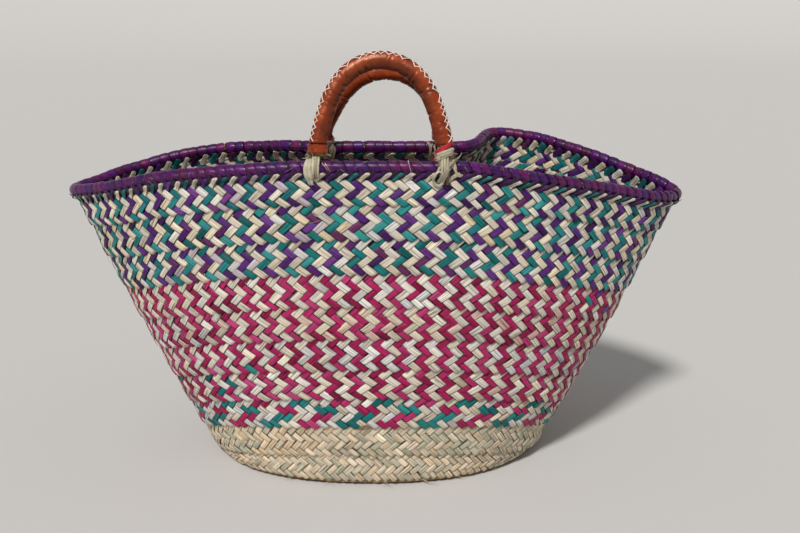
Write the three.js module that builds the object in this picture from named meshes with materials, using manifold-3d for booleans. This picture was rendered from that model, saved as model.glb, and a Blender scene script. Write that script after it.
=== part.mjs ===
// Palm-leaf market basket: one plaited braid wound from an oval base up to a
// flaring rim, sewn edge to edge with twine, a wrapped coil rim and two short
// leather-covered rope handles whose end eyes swing on the rim.
// Millimetres, +Z up, +X to the right, -Y is the front face.
// The origin is the middle of the overall footprint, on the floor.
import * as THREE from 'three';
import { mergeVertices } from 'three/addons/utils/BufferGeometryUtils.js';
import Module from 'manifold-3d';

// ---- driving dimensions -------------------------------------------------
const SHIFT = [1.471, 3.565];          // plan offset that centres the footprint on the origin
const BRAID_T = 4.4;               // braid thickness at the middle of its width
const BRAID_EDGE_T = 1.8;          // braid thickness at its sewn edges
const SEAM_GAP = 0.018;            // clear gap at each edge, as a fraction of the braid width
const TWINE_R = 0.8;               // seam twine radius
const RIM_CORE_R = 4.8;            // bundled palm ribs inside the rim
const RIM_WRAP_RI = 5.1;           // leaf wrapping, inside radius
const RIM_WRAP_RO = 6.0;           // leaf wrapping, outside radius
const RIM_TO_BRAID = 7.0;          // from the rim's middle line down to the top braid turn's edge
const HANDLE_X = { front: 6.5, rear: 4.8 };    // middle of each handle along the rim
const HANDLE_SLEEVE_RO = 8.0;      // leather sleeve outside radius
const HANDLE_SLEEVE_RI = 6.8;      // leather sleeve inside radius
const HANDLE_ROPE_R = 6.3;         // rope core radius
const FRONT_LEAN = 12;             // degrees the front handle leans in at rest
const REAR_LEAN = 30;              // degrees the rear handle leans in at rest
const EYE_RI = 7.2, EYE_RO = 10.0; // rope eye round the rim
const EYE_W = 6.0;                 // rope eye width along the rim
const TIE_W = 7.0;                 // palm-leaf tie width along the rim
const THREAD_R = 0.6;              // seam thread on the leather
const SEAM_TURN = 45;              // degrees from the arch's outside to its seam, towards the basket's outside

// Seam rings, from the braid's start strip (-3) through the base edge (0) to
// the rim (10): half length, half width, height at the ends, height at the
// middle of the front, plan exponent, how fast the height rises from the ends,
// and how far the ring sits to the right.
const RINGS = [
  // A,    B,     ZE,    ZF,   N,    Q,    XC
  [55,    13,    2.2,   2.2,  2.5,  1.0,  -1.5],
  [87,    44,    2.2,   2.2,  2.3,  1.0,  -2.5],
  [119,   75,    2.2,   2.2,  2.25, 1.0,  -3.5],
  [151,   106,   2.2,   2.2,  2.25, 1.0,  -4.5],
  [167.5, 113,   6,     34,   2.15, 1.3,  -2],
  [182,   118,   30,    65,   2.15, 0.85, -2.4],
  [196,   123,   54,    96,   2.15, 1.05, -1.5],
  [211.5, 128,   83,    126,  2.12, 1.3,  -1.5],
  [227.3, 132,   113,   157,  2.1,  1.5,  -1.1],
  [243,   135,   144,   188,  2.1,  1.8,  -0.9],
  [258,   138,   175,   219,  2.05, 2.0,  -1.3],
  [272.4, 139,   205,   250,  2.0,  2.0,  -1.0],
  [286.4, 139,   236,   281,  2.0,  2.0,  -0.5],
  [301.3, 137,   268,   312,  2.0,  2.0,  0],
];
const RING0 = 3;                   // index of the base edge in RINGS
const END_ROUND = 0.3;             // how softly the seams turn upwards at the two ends

// Middle line of the rim: along the front from the left tip to the right tip,
// then back along the rear, which is drawn in at its handle and bellies out
// beside it.
const RIM = [
  [-305.3, 0, 272.2], [-266, -45, 280.9], [-243, -64, 287.0], [-219, -80, 293.7], [-196.6, -93, 299.1], [-156, -112, 306.1],
  [-118, -125, 310.9], [-88, -132.5, 313.8], [-68, -136, 315.2], [-50, -136, 315.2], [6, -136, 315.2], [42, -136, 315.2], [78, -136, 315.2],
  [94, -131, 312.5], [116, -124, 308.0], [148, -110, 300.8], [188.6, -88, 292.1], [232, -61, 281.4], [275, -33, 270.4],
  [302.5, 0, 268.6],
  [287, 22, 277.8], [272.6, 42, 282.2], [237, 72, 294.2], [199, 100, 304.6], [179, 118, 308.9], [158.6, 130, 311.3], [136, 132, 313.6],
  [121, 118, 313.6], [113, 95, 311.8], [104, 69, 309.2], [92, 54, 308.3],
  [78, 50.5, 308.6], [42, 50.5, 308.6], [6, 50.5, 308.6], [-50, 50.5, 308.6], [-70, 50.5, 308.6], [-94, 62, 308.2], [-128.6, 83, 304.5],
  [-173, 95, 300.6], [-217.5, 94, 293.7], [-238.6, 88, 288.9], [-258, 79, 283.8], [-275, 64, 280.2], [-289.5, 42, 275.8],
];
const RIM_RIGHT = 19;              // index of the right tip in RIM

// Handle middle lines, each in its own plane: across, and up from the rim's
// middle line. The rear handle is a little wider and not quite even; it is
// drawn as seen from behind, because it is turned round to face the rear.
const half = [[-55, 11.6], [-54.4, 24.5], [-52.2, 33.5], [-50, 42], [-47.4, 50.6], [-44.2, 59.3], [-39.8, 68], [-34, 76.3],
  [-25.7, 84.2], [-13.8, 90.6], [0, 93]];
const ARCH = {
  front: half.concat(half.slice(0, -1).reverse().map(([x, h]) => [-x, h])),
  rear: [[-60, 11.6], [-59.7, 24.5], [-58.2, 33.5], [-55.9, 42], [-53.2, 50.6], [-50, 59.3], [-45.4, 68], [-39.3, 76.3],
    [-30.7, 84.2], [-18.2, 90.6], [-3.2, 93], [10.5, 90.6], [22.4, 84.2], [30.6, 76.3], [37.1, 68], [42.6, 59.3], [47.1, 50.6],
    [51.2, 42], [55.2, 33.5], [58.6, 24.5], [60, 11.6]],
};
const FOOT = { front: 55, rear: 60 };   // half the distance between a handle's feet

// ---- surface of the basket ----------------------------------------------
const M = 720;                     // samples round each seam ring
const sgnpow = (v, p) => Math.sign(v) * Math.pow(Math.abs(v), p);
const dist = (a, b) => Math.hypot(a[0] - b[0], a[1] - b[1], a[2] - b[2]);

function halves(P, iR) {
  // spread points evenly by length, the front half and the rear half apart
  const out = [];
  const parts = [P.slice(0, iR + 1), P.slice(iR).concat([P[0]])];
  for (const h of parts) {
    const s = [0];
    for (let i = 1; i < h.length; i++) s.push(s[i - 1] + dist(h[i], h[i - 1]));
    const L = s[s.length - 1];
    let j = 0;
    for (let i = 0; i < M / 2; i++) {
      const u = (i / (M / 2)) * L;
      while (j < s.length - 2 && s[j + 1] < u) j++;
      const f = (u - s[j]) / (s[j + 1] - s[j]);
      out.push([0, 1, 2].map((c) => h[j][c] + (h[j + 1][c] - h[j][c]) * f));
    }
  }
  return out;
}

function catmull(P, n) {
  const m = P.length, out = [];
  const d = P.map((p, i) => Math.sqrt(dist(p, P[(i + 1) % m])));
  for (let i = 0; i < m; i++) {
    const p0 = P[(i + m - 1) % m], p1 = P[i], p2 = P[(i + 1) % m], p3 = P[(i + 2) % m];
    const d0 = d[(i + m - 1) % m], d1 = d[i], d2 = d[(i + 1) % m];
    for (let k = 0; k < n; k++) {
      const t = k / n, t2 = t * t, t3 = t2 * t;
      out.push([0, 1, 2].map((c) => {
        const m1 = ((p1[c] - p0[c]) / d0 - (p2[c] - p0[c]) / (d0 + d1) + (p2[c] - p1[c]) / d1) * d1;
        const m2 = ((p2[c] - p1[c]) / d1 - (p3[c] - p1[c]) / (d1 + d2) + (p3[c] - p2[c]) / d2) * d1;
        return (2 * t3 - 3 * t2 + 1) * p1[c] + (t3 - 2 * t2 + t) * m1 + (-2 * t3 + 3 * t2) * p2[c] + (t3 - t2) * m2;
      }));
    }
  }
  return out;
}

function ovalRing([A, B, ZE, ZF, N, Q, XC]) {
  const n = 2880, P = [];
  for (let i = 0; i < n; i++) {
    const a = (2 * Math.PI * i) / n, c = Math.cos(a), s = Math.sin(a);
    const rise = (Math.pow(s * s + END_ROUND ** 2, Q / 2) - END_ROUND ** Q) / (Math.pow(1 + END_ROUND ** 2, Q / 2) - END_ROUND ** Q);
    P.push([XC - A * sgnpow(c, 2 / N), -B * sgnpow(s, 2 / N), ZE + (ZF - ZE) * rise]);
  }
  return halves(P, n / 2);
}

const GRID = (() => {
  const E = RINGS.map(ovalRing);
  const R = halves(catmull(RIM, 24), RIM_RIGHT * 24);
  let D = R.map((p, i) => p.map((v, c) => v - E[E.length - 1][i][c]));
  for (let k = 0; k < 3; k++) {
    D = D.map((p, i) => p.map((v, c) => (D[(i + M - 1) % M][c] + v + D[(i + 1) % M][c]) / 3));
  }
  return E.map((ring, r) => {
    const t = (r - RING0) / 10, w = Math.pow(Math.min(1, Math.max(0, (t - 0.15) / 0.85)), 1.7);
    return ring.map((p, i) => [p[0] + w * D[i][0] + SHIFT[0], p[1] + w * D[i][1] + SHIFT[1], p[2] + w * D[i][2]]);
  });
})();

// Point on the basket's middle surface: s runs 0..1 round from the left tip
// along the front, t counts braid turns up from the base edge.
function surf(s, t) {
  const x = (((s % 1) + 1) % 1) * M, i = Math.floor(x) % M, f = x - Math.floor(x);
  const r = Math.min(Math.max(t + RING0, 0), RINGS.length - 1 - 1e-9), k = Math.floor(r), u = r - k;
  const at = (q) => {
    const qq = Math.min(Math.max(q, 0), RINGS.length - 1), g = GRID[qq];
    const v = [0, 1, 2].map((c) => g[i][c] + (g[(i + 1) % M][c] - g[i][c]) * f);
    if (q === qq) return v;
    const inner = q < 0 ? GRID[1] : GRID[RINGS.length - 2];
    return [0, 1, 2].map((c) => 2 * v[c] - (inner[i][c] + (inner[(i + 1) % M][c] - inner[i][c]) * f));
  };
  const a = at(k - 1), b = at(k), c = at(k + 1), d = at(k + 2), u2 = u * u, u3 = u2 * u;
  return [0, 1, 2].map((n) => 0.5 * (2 * b[n] + (c[n] - a[n]) * u + (2 * a[n] - 5 * b[n] + 4 * c[n] - d[n]) * u2 + (3 * b[n] - a[n] - 3 * c[n] + d[n]) * u3));
}
const V = (a) => new THREE.Vector3(...a);
function frameAt(s, t) {
  const P = V(surf(s, t));
  const ds = V(surf(s + 0.004, t)).sub(V(surf(s - 0.004, t))).normalize();
  const dt = V(surf(s, t + 0.05)).sub(V(surf(s, t - 0.05))).normalize();
  const n = ds.clone().cross(dt).normalize();
  return { P, ds, dt, n };
}

// Where the rim's middle line passes a given x, on the front or on the rear.
function rimAtX(x, front) {
  let best = null;
  for (let i = 0; i < 4000; i++) {
    const s = (front ? 0.1 : 0.66) + (0.26 * i) / 4000, p = surf(s, 10);
    if (best === null || Math.abs(p[0] - x) < Math.abs(best.p[0] - x)) best = { p, s };
  }
  return best;
}
const sF = (x) => rimAtX(x + SHIFT[0], true).s, sR = (x) => rimAtX(x + SHIFT[0], false).s;

// Stations round the basket, closer together at the tips and in the rear fold.
// The rim runs straight between the two stations that bracket each handle.
const STATIONS = [0, 0.028, 0.06, 0.1, 0.14, 0.175, sF(-67), sF(6), sF(79), 0.335, 0.37, 0.41, 0.445, 0.473,
  0.5, 0.525, 0.552, 0.58, 0.605, 0.625, 0.64, 0.655, 0.668, sR(91), sR(79), sR(6), sR(-67), 0.835, 0.87, 0.905, 0.935, 0.955, 0.978];

// ---- mesh helpers ---------------------------------------------------------
function solid(verts, tris) {
  const g = new THREE.BufferGeometry();
  g.setAttribute('position', new THREE.BufferAttribute(new Float32Array(verts.flat()), 3));
  g.setIndex(tris.flat());
  return g;
}
function volume(verts, tris) {
  let v = 0;
  for (const [a, b, c] of tris) {
    const A = verts[a], B = verts[b], C = verts[c];
    v += (A[0] * (B[1] * C[2] - B[2] * C[1]) - A[1] * (B[0] * C[2] - B[2] * C[0]) + A[2] * (B[0] * C[1] - B[1] * C[0])) / 6;
  }
  return v;
}
// Sweep sections (each the same number of points) into a ring, or into a bar with flat ends.
function sweep(sections, ring) {
  const n = sections[0].length, m = sections.length, verts = sections.flat(), tris = [];
  for (let i = 0; i < (ring ? m : m - 1); i++) {
    const a = i * n, b = ((i + 1) % m) * n;
    for (let j = 0; j < n; j++) {
      const j2 = (j + 1) % n;
      tris.push([a + j, b + j, b + j2], [a + j, b + j2, a + j2]);
    }
  }
  if (!ring) {
    const cap = (base, flip) => {
      const shape = sections[base / n];
      const o = V(shape[0]), nrm = new THREE.Vector3();
      for (let j = 0; j < n; j++) nrm.add(V(shape[j]).sub(o).cross(V(shape[(j + 1) % n]).sub(o)));
      nrm.normalize();
      const ax = V(shape[1]).sub(o).normalize(), ay = nrm.clone().cross(ax);
      const flat = shape.map((p) => { const q = V(p).sub(o); return new THREE.Vector2(q.dot(ax), q.dot(ay)); });
      for (const f of THREE.ShapeUtils.triangulateShape(flat, [])) tris.push(flip ? [base + f[0], base + f[2], base + f[1]] : [base + f[0], base + f[1], base + f[2]]);
    };
    cap(0, false); cap((m - 1) * n, true);
    // make the two caps agree with the walls
    const edge = new Set();
    for (const [a, b, c] of tris.slice(0, (m - 1) * n * 2)) { edge.add(a + '_' + b); edge.add(b + '_' + c); edge.add(c + '_' + a); }
    for (let i = (m - 1) * n * 2; i < tris.length; i++) {
      const [a, b, c] = tris[i];
      const clash = edge.has(a + '_' + b) || edge.has(b + '_' + c) || edge.has(c + '_' + a);
      const first = a < n;
      if (clash) { (first ? (solidFlip.a = true) : (solidFlip.b = true)); }
    }
    for (let i = (m - 1) * n * 2; i < tris.length; i++) {
      const [a, b, c] = tris[i], first = a < n;
      if ((first && solidFlip.a) || (!first && solidFlip.b)) tris[i] = [a, c, b];
    }
    solidFlip.a = false; solidFlip.b = false;
  }
  if (volume(verts, tris) < 0) for (const t of tris) t.reverse();
  return solid(verts, tris);
}
const solidFlip = { a: false, b: false };

const materials = {
  straw: new THREE.MeshStandardMaterial({ color: 0xcdbf98, roughness: 0.62, metalness: 0 }),
  mixed: new THREE.MeshStandardMaterial({ color: 0xb9a5a0, roughness: 0.6, metalness: 0 }),
  pink: new THREE.MeshStandardMaterial({ color: 0xc4788f, roughness: 0.6, metalness: 0 }),
  teal: new THREE.MeshStandardMaterial({ color: 0x8c9a98, roughness: 0.6, metalness: 0 }),
  twine: new THREE.MeshStandardMaterial({ color: 0xb7a57c, roughness: 0.8, metalness: 0 }),
  purple: new THREE.MeshStandardMaterial({ color: 0x4f2268, roughness: 0.4, metalness: 0 }),
  rope: new THREE.MeshStandardMaterial({ color: 0xb29a68, roughness: 0.85, metalness: 0 }),
  leather: new THREE.MeshStandardMaterial({ color: 0xa84a22, roughness: 0.38, metalness: 0 }),
  white: new THREE.MeshStandardMaterial({ color: 0xe8dfd6, roughness: 0.7, metalness: 0 }),
  red: new THREE.MeshStandardMaterial({ color: 0xc23a40, roughness: 0.6, metalness: 0 }),
};
const basket = new THREE.Group();
function add(name, geometry, material, parent = basket) {
  const mesh = new THREE.Mesh(geometry, material);
  mesh.name = name;
  parent.add(mesh);
  return mesh;
}

// ---- booleans ---------------------------------------------------------------
const wasm = await Module();
wasm.setup();
function toManifold(g) {
  let h = g.clone();
  for (const k of Object.keys(h.attributes)) if (k !== 'position') h.deleteAttribute(k);
  h = mergeVertices(h, 1e-4);
  const idx = h.index.array;
  return new wasm.Manifold(new wasm.Mesh({ numProp: 3, vertProperties: new Float32Array(h.attributes.position.array), triVerts: new Uint32Array(idx) }));
}
function fromManifold(m) {
  const q = m.getMesh(), n = q.numProp, verts = [];
  for (let i = 0; i < q.vertProperties.length / n; i++) verts.push([q.vertProperties[i * n], q.vertProperties[i * n + 1], q.vertProperties[i * n + 2]]);
  const tris = [];
  for (let i = 0; i < q.triVerts.length; i += 3) tris.push([q.triVerts[i], q.triVerts[i + 1], q.triVerts[i + 2]]);
  return solid(verts, tris);
}

// ---- base: start strip and three flat turns -----------------------------------
{
  const n = 28, outline = [];
  for (let i = 0; i < n; i++) {
    const p = surf(i / n, -3 + 0), c = [SHIFT[0], SHIFT[1]];
    const k = 0.6, dx = p[0] - c[0], dy = p[1] - c[1], L = Math.hypot(dx, dy);
    outline.push([p[0] - (k * dx) / L, p[1] - (k * dy) / L]);
  }
  const inner = outline.map(([x, y]) => { const dx = x - SHIFT[0], dy = y - SHIFT[1], L = Math.hypot(dx, dy), f = (L - 4) / L; return [SHIFT[0] + dx * f, SHIFT[1] + dy * f]; });
  const mk = (o, z) => o.map(([x, y]) => [x, y, z]);
  add('base_start_strip', sweep([mk(outline, 0), mk(outline, 2.6), mk(inner, BRAID_T)], false), materials.straw);
}
for (let k = -3; k < 0; k++) {
  const secs = STATIONS.map((s) => {
    const at = (t, z) => { const p = surf(s, t); return [p[0], p[1], z]; };
    const a = k + SEAM_GAP, b = k + 1 - SEAM_GAP;
    return [at(a, 0), at(b, 0), at(b, 2.6), at(k + 0.75, BRAID_T), at(k + 0.25, BRAID_T), at(a, 2.6)];
  });
  add('base_turn_' + (k + 4), sweep(secs, true), materials.straw);
}

// ---- wall: ten braid turns -------------------------------------------------------
function turnGeometry(k) {
  const secs = STATIONS.map((s) => {
    // the top turn stops just under the rim
    const width = dist(surf(s, k), surf(s, k + 1));
    const top = k === 9 ? 10 - RIM_TO_BRAID / width : k + 1 - SEAM_GAP;
    const a = frameAt(s, k + SEAM_GAP), m = frameAt(s, k + (top - k) / 2), b = frameAt(s, top);
    const off = (f, d) => { const p = f.P.clone().addScaledVector(f.n, d); p.z = Math.max(p.z, 0.1); return p.toArray(); };
    const e = BRAID_EDGE_T / 2, h = BRAID_T / 2;
    return [off(a, e), off(m, h), off(b, e), off(b, -e), off(m, -h), off(a, -e)];
  });
  return sweep(secs, true);
}
const wallMaterial = (n) => (n <= 2 ? materials.straw : n === 3 ? materials.mixed : n <= 7 ? materials.pink : materials.teal);

// ---- rim frame -------------------------------------------------------------------
function rimFrame(s) {
  const f = frameAt(s, 9.999);
  // up is square to the rim's run, in the wall's plane
  const up = f.n.clone().cross(f.ds).normalize().negate();
  if (up.dot(f.dt) < 0) up.negate();
  return { P: V(surf(s, 10)), n: f.n, up, ds: f.ds };
}
{
  const core = STATIONS.map((s) => {
    const f = rimFrame(s), out = [];
    for (let j = 0; j < 6; j++) {
      const a = (Math.PI * 2 * j) / 6;
      out.push(f.P.clone().addScaledVector(f.n, RIM_CORE_R * Math.cos(a)).addScaledVector(f.up, RIM_CORE_R * Math.sin(a)).toArray());
    }
    return out;
  });
  add('rim_core_rib_bundle', sweep(core, true), materials.rope);
  // leaf wrapping: open along its underside, where it is sewn down to the braid
  const open = 34 * Math.PI / 180, N = 8;
  const wrap = STATIONS.map((s) => {
    const f = rimFrame(s), pts = [];
    for (let j = 0; j <= N; j++) {
      const a = -Math.PI / 2 + open + ((2 * Math.PI - 2 * open) * j) / N;
      pts.push([RIM_WRAP_RO / Math.cos((2 * Math.PI - 2 * open) / N / 2), a]);
    }
    for (let j = N; j >= 0; j--) {
      const a = -Math.PI / 2 + open + ((2 * Math.PI - 2 * open) * j) / N;
      pts.push([RIM_WRAP_RI / Math.cos((2 * Math.PI - 2 * open) / N / 2), a]);
    }
    return pts.map(([r, a]) => f.P.clone().addScaledVector(f.n, r * Math.cos(a)).addScaledVector(f.up, r * Math.sin(a)).toArray());
  });
  add('rim_leaf_wrapping', sweep(wrap, true), materials.purple);
}

// ---- handles ----------------------------------------------------------------------
// Middle line of a handle as an even set of points with the plane's across and up.
function archLine(side, steps, from = 0, to = 1) {
  const curve = new THREE.CatmullRomCurve3(ARCH[side].map(([x, h]) => new THREE.Vector3(x, 0, h)), false, 'centripetal');
  curve.arcLengthDivisions = 400;
  const out = [];
  for (let i = 0; i <= steps; i++) {
    const u = from + ((to - from) * i) / steps;
    const P = curve.getPointAt(u), T = curve.getTangentAt(u);
    const outw = new THREE.Vector3(T.z, 0, -T.x).negate();  // away from the middle of the arch
    out.push({ P, T, outw, side: new THREE.Vector3(0, 1, 0) });
  }
  return out;
}
function tubeSections(line, r, sides, r2 = null) {
  return line.map(({ P, outw, side }) => {
    const ring = [];
    for (let j = 0; j < sides; j++) {
      const a = (2 * Math.PI * (j + 0.5)) / sides;
      ring.push(P.clone().addScaledVector(outw, r * Math.cos(a)).addScaledVector(side, r * Math.sin(a)).toArray());
    }
    return ring;
  });
}
// Hollow sleeve: outer wall, inner wall and two annular ends.
function sleeve(line, ro, ri, sides) {
  const O = tubeSections(line, ro, sides), I = tubeSections(line, ri, sides), m = line.length, n = sides;
  const verts = O.flat().concat(I.flat()), off = m * n, tris = [];
  for (let i = 0; i < m - 1; i++) for (let j = 0; j < n; j++) {
    const j2 = (j + 1) % n, a = i * n, b = (i + 1) * n;
    tris.push([a + j, b + j, b + j2], [a + j, b + j2, a + j2]);
    tris.push([off + a + j, off + b + j2, off + b + j], [off + a + j, off + a + j2, off + b + j2]);
  }
  for (let j = 0; j < n; j++) {
    const j2 = (j + 1) % n, e = (m - 1) * n;
    tris.push([j, j2, off + j2], [j, off + j2, off + j]);
    tris.push([e + j, off + e + j2, e + j2], [e + j, off + e + j, off + e + j2]);
  }
  if (volume(verts, tris) < 0) for (const t of tris) t.reverse();
  return solid(verts, tris);
}
// Ring about the X axis, inner radius ri, outer ro, between x0 and x1.
function ringAboutX(ri, ro, x0, x1, sides) {
  const secs = [];
  for (let j = 0; j < sides; j++) {
    const a = (2 * Math.PI * j) / sides, c = Math.cos(a), s = Math.sin(a);
    secs.push([[x0, ri * c, ri * s], [x1, ri * c, ri * s], [x1, ro * c, ro * s], [x0, ro * c, ro * s]]);
  }
  return sweep(secs, true);
}

const pivots = {};
for (const side of ['front', 'rear']) {
  const front = side === 'front', HX = HANDLE_X[side] + SHIFT[0];
  const L = rimAtX(HX - FOOT[side], front).p, R = rimAtX(HX + FOOT[side], front).p;
  pivots[side] = [HX, (L[1] + R[1]) / 2, (L[2] + R[2]) / 2];
}

let topTurn = toManifold(turnGeometry(9));

for (const side of ['front', 'rear']) {
  const front = side === 'front', piv = pivots[side], HX = piv[0], footX = FOOT[side];
  const group = new THREE.Group();
  group.position.set(...piv);
  // the front handle leans towards +Y, the rear one is turned round and leans towards -Y
  group.rotation.set(front ? -FRONT_LEAN * Math.PI / 180 : REAR_LEAN * Math.PI / 180, 0, 0);
  if (!front) {
    const turn = new THREE.Group();
    turn.rotation.z = Math.PI;
    group.add(turn);
    group.userData.inner = turn;
  }
  const inner = group.userData.inner || group;
  basket.add(group);

  const full = archLine(side, 26);
  // rope core with an eye at each end
  let rope = toManifold(sweep(tubeSections(archLine(side, 24, 0.0, 1.0), HANDLE_ROPE_R, 8), false));
  for (const sx of [-1, 1]) {
    const eye = toManifold(ringAboutX(EYE_RI, EYE_RO, sx * footX - EYE_W / 2, sx * footX + EYE_W / 2, 14));
    const neck = new THREE.BoxGeometry(EYE_W, 7, 4.6).translate(sx * footX, 0, 10.6);
    rope = rope.add(eye).add(toManifold(neck));
  }
  add(side + '_handle_rope_core', fromManifold(rope), materials.rope, inner);

  // leather sleeve, open at both ends; at the left foot a collar takes over
  const len = (() => { let s = 0; for (let i = 1; i < full.length; i++) s += full[i].P.distanceTo(full[i - 1].P); return s; })();
  const uC = 8.6 / len, uR = 8.0 / len;
  add(side + '_handle_leather_sleeve', sleeve(archLine(side, 22, uC, 1 - uR), HANDLE_SLEEVE_RO, HANDLE_SLEEVE_RI, 8), materials.leather, inner);
  add(side + '_handle_end_collar', sleeve(archLine(side, 2, 0.002, uC - 0.4 / len), HANDLE_SLEEVE_RO + 0.5, HANDLE_SLEEVE_RI, 10), materials.leather, inner);
  add(side + '_handle_end_thread_whipping', sleeve(archLine(side, 2, 1 - uR + 0.4 / len, 0.998), HANDLE_SLEEVE_RO - 0.3, HANDLE_SLEEVE_RI, 10), materials.red, inner);

  // zigzag seam thread along the arch, between its outside and the face away from the basket
  const N = 34, zz = archLine(side, N, uC + 3 / len, 1 - uR - 3 / len);
  const line = zz.map((f, i) => {
    const w = 2.0, a = (i % 2 ? 1 : -1) * w / HANDLE_SLEEVE_RO - SEAM_TURN * Math.PI / 180, r = HANDLE_SLEEVE_RO + THREAD_R + 0.38;
    return f.P.clone().addScaledVector(f.outw, r * Math.cos(a)).addScaledVector(f.side, r * Math.sin(a));
  });
  const thread = line.map((p, i) => {
    const a = line[Math.max(0, i - 1)], b = line[Math.min(line.length - 1, i + 1)];
    const T = b.clone().sub(a).normalize(), o = p.clone().sub(zz[i].P);
    o.addScaledVector(T, -o.dot(T)).normalize();
    const c = T.clone().cross(o).normalize(), sec = [];
    for (let j = 0; j < 4; j++) {
      const q = (Math.PI / 2) * j;
      sec.push(p.clone().addScaledVector(o, THREAD_R * Math.cos(q)).addScaledVector(c, THREAD_R * Math.sin(q)).toArray());
    }
    return sec;
  });
  add(side + '_handle_seam_thread', sweep(thread, false), materials.white, inner);

  // at each foot: the eye needs a notch in the top braid turn, and a palm-leaf
  // tie loops over the rim beside it and through a slot in that turn
  for (const sx of [-1, 1]) {
    const label = sx < 0 ? 'left' : 'right';
    const cx = HX + sx * footX;
    const cut = ringAboutX(EYE_RI - 0.4, EYE_RO + 0.45, -EYE_W / 2 - 0.5, EYE_W / 2 + 0.5, 14).translate(cx, piv[1], piv[2]);
    topTurn = topTurn.subtract(toManifold(cut));
    // tie: a flat band round the rim, long below it
    const tx = cx + sx * (EYE_W / 2 + 1.0 + TIE_W / 2);
    const { p: rp, s } = rimAtX(tx, front), f = rimFrame(s);
    const ri = RIM_WRAP_RO + 1.2, t = 1.5, drop = 14.5, outer = [], innerL = [];
    const n = 10;
    for (let j = 0; j <= n; j++) { const a = -0.0 + (Math.PI * j) / n; innerL.push([ri * Math.cos(a), ri * Math.sin(a)]); outer.push([(ri + t) * Math.cos(a), (ri + t) * Math.sin(a)]); }
    // legs run down both faces of the wall, then turn through it
    const legIn = [[-ri, -6.5], [-4.2, -drop + 3.0], [0, -drop + 2.6], [4.2, -drop + 3.0], [ri, -6.5]];
    const legOut = [[-ri - t, -7], [-4.2 - t * 0.8, -drop + 1.6], [0, -drop + 2.6 - t], [4.2 + t * 0.8, -drop + 1.6], [ri + t, -7]];
    const I = innerL.concat(legIn), O = outer.concat(legOut);
    const place = (q, x) => V(rp).addScaledVector(f.n, q[0]).addScaledVector(f.up, q[1]).addScaledVector(f.ds, x).toArray();
    const secs = I.map((q, i) => [place(q, -TIE_W / 2), place(q, TIE_W / 2), place(O[i], TIE_W / 2), place(O[i], -TIE_W / 2)]);
    add(side + '_' + label + '_palm_leaf_tie', sweep(secs, true), materials.straw);
    // slot for the tie
    const zc = -drop + 2.6 - t / 2, hh = t / 2 + 0.6, ww = TIE_W / 2 + 0.5, slot = [];
    for (const d of [-12, 12]) slot.push([[d, zc - hh, -ww], [d, zc - hh, ww], [d, zc + hh, ww], [d, zc + hh, -ww]].map(([a, b, c]) => place([a, b], c)));
    topTurn = topTurn.subtract(toManifold(sweep(slot, false)));
  }
}

for (let k = 0; k < 10; k++) {
  const name = 'wall_turn_' + String(k + 1).padStart(2, '0');
  add(name, k === 9 ? fromManifold(topTurn) : turnGeometry(k), wallMaterial(k + 1));
}

// ---- seam twine, one ring inside each seam -----------------------------------------
for (let k = -3; k < 10; k++) {
  const secs = STATIONS.map((s) => {
    const f = frameAt(s, k), out = [];
    const d = k < 0 ? 0 : k === 0 ? -2.75 : -(BRAID_EDGE_T / 2 + TWINE_R + 0.45);
    const n = k < 0 ? new THREE.Vector3(0, 0, -1) : f.n;
    const c = f.P.clone().addScaledVector(n, d);
    if (k < 0) c.z = 2.6 + TWINE_R + 0.4;
    const b = k < 0 ? n.clone().cross(f.ds).normalize() : f.dt;
    for (let j = 0; j < 4; j++) {
      const a = (Math.PI / 2) * j;
      out.push(c.clone().addScaledVector(n, TWINE_R * Math.cos(a)).addScaledVector(b, TWINE_R * Math.sin(a)).toArray());
    }
    return out;
  });
  const name = k < 0 ? 'base_seam_twine_' + (k + 4) : 'wall_seam_twine_' + String(k + 1).padStart(2, '0');
  add(name, sweep(secs, true), materials.twine);
}

export default basket;
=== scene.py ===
import math

import bpy
import numpy as np
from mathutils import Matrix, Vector


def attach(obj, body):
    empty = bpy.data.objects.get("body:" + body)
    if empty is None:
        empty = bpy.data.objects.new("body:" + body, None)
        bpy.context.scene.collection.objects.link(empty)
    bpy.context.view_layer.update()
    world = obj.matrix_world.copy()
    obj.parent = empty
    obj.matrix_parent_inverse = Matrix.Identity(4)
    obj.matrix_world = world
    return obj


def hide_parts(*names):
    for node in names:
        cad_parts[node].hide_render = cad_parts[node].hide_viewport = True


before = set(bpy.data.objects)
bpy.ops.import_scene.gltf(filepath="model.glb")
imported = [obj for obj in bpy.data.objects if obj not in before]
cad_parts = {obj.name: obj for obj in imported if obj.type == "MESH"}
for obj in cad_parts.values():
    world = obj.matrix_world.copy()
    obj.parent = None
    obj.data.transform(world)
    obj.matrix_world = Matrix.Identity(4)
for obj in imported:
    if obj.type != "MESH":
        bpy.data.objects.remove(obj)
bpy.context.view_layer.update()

scene = bpy.context.scene
rng = np.random.default_rng(20790)

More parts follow.
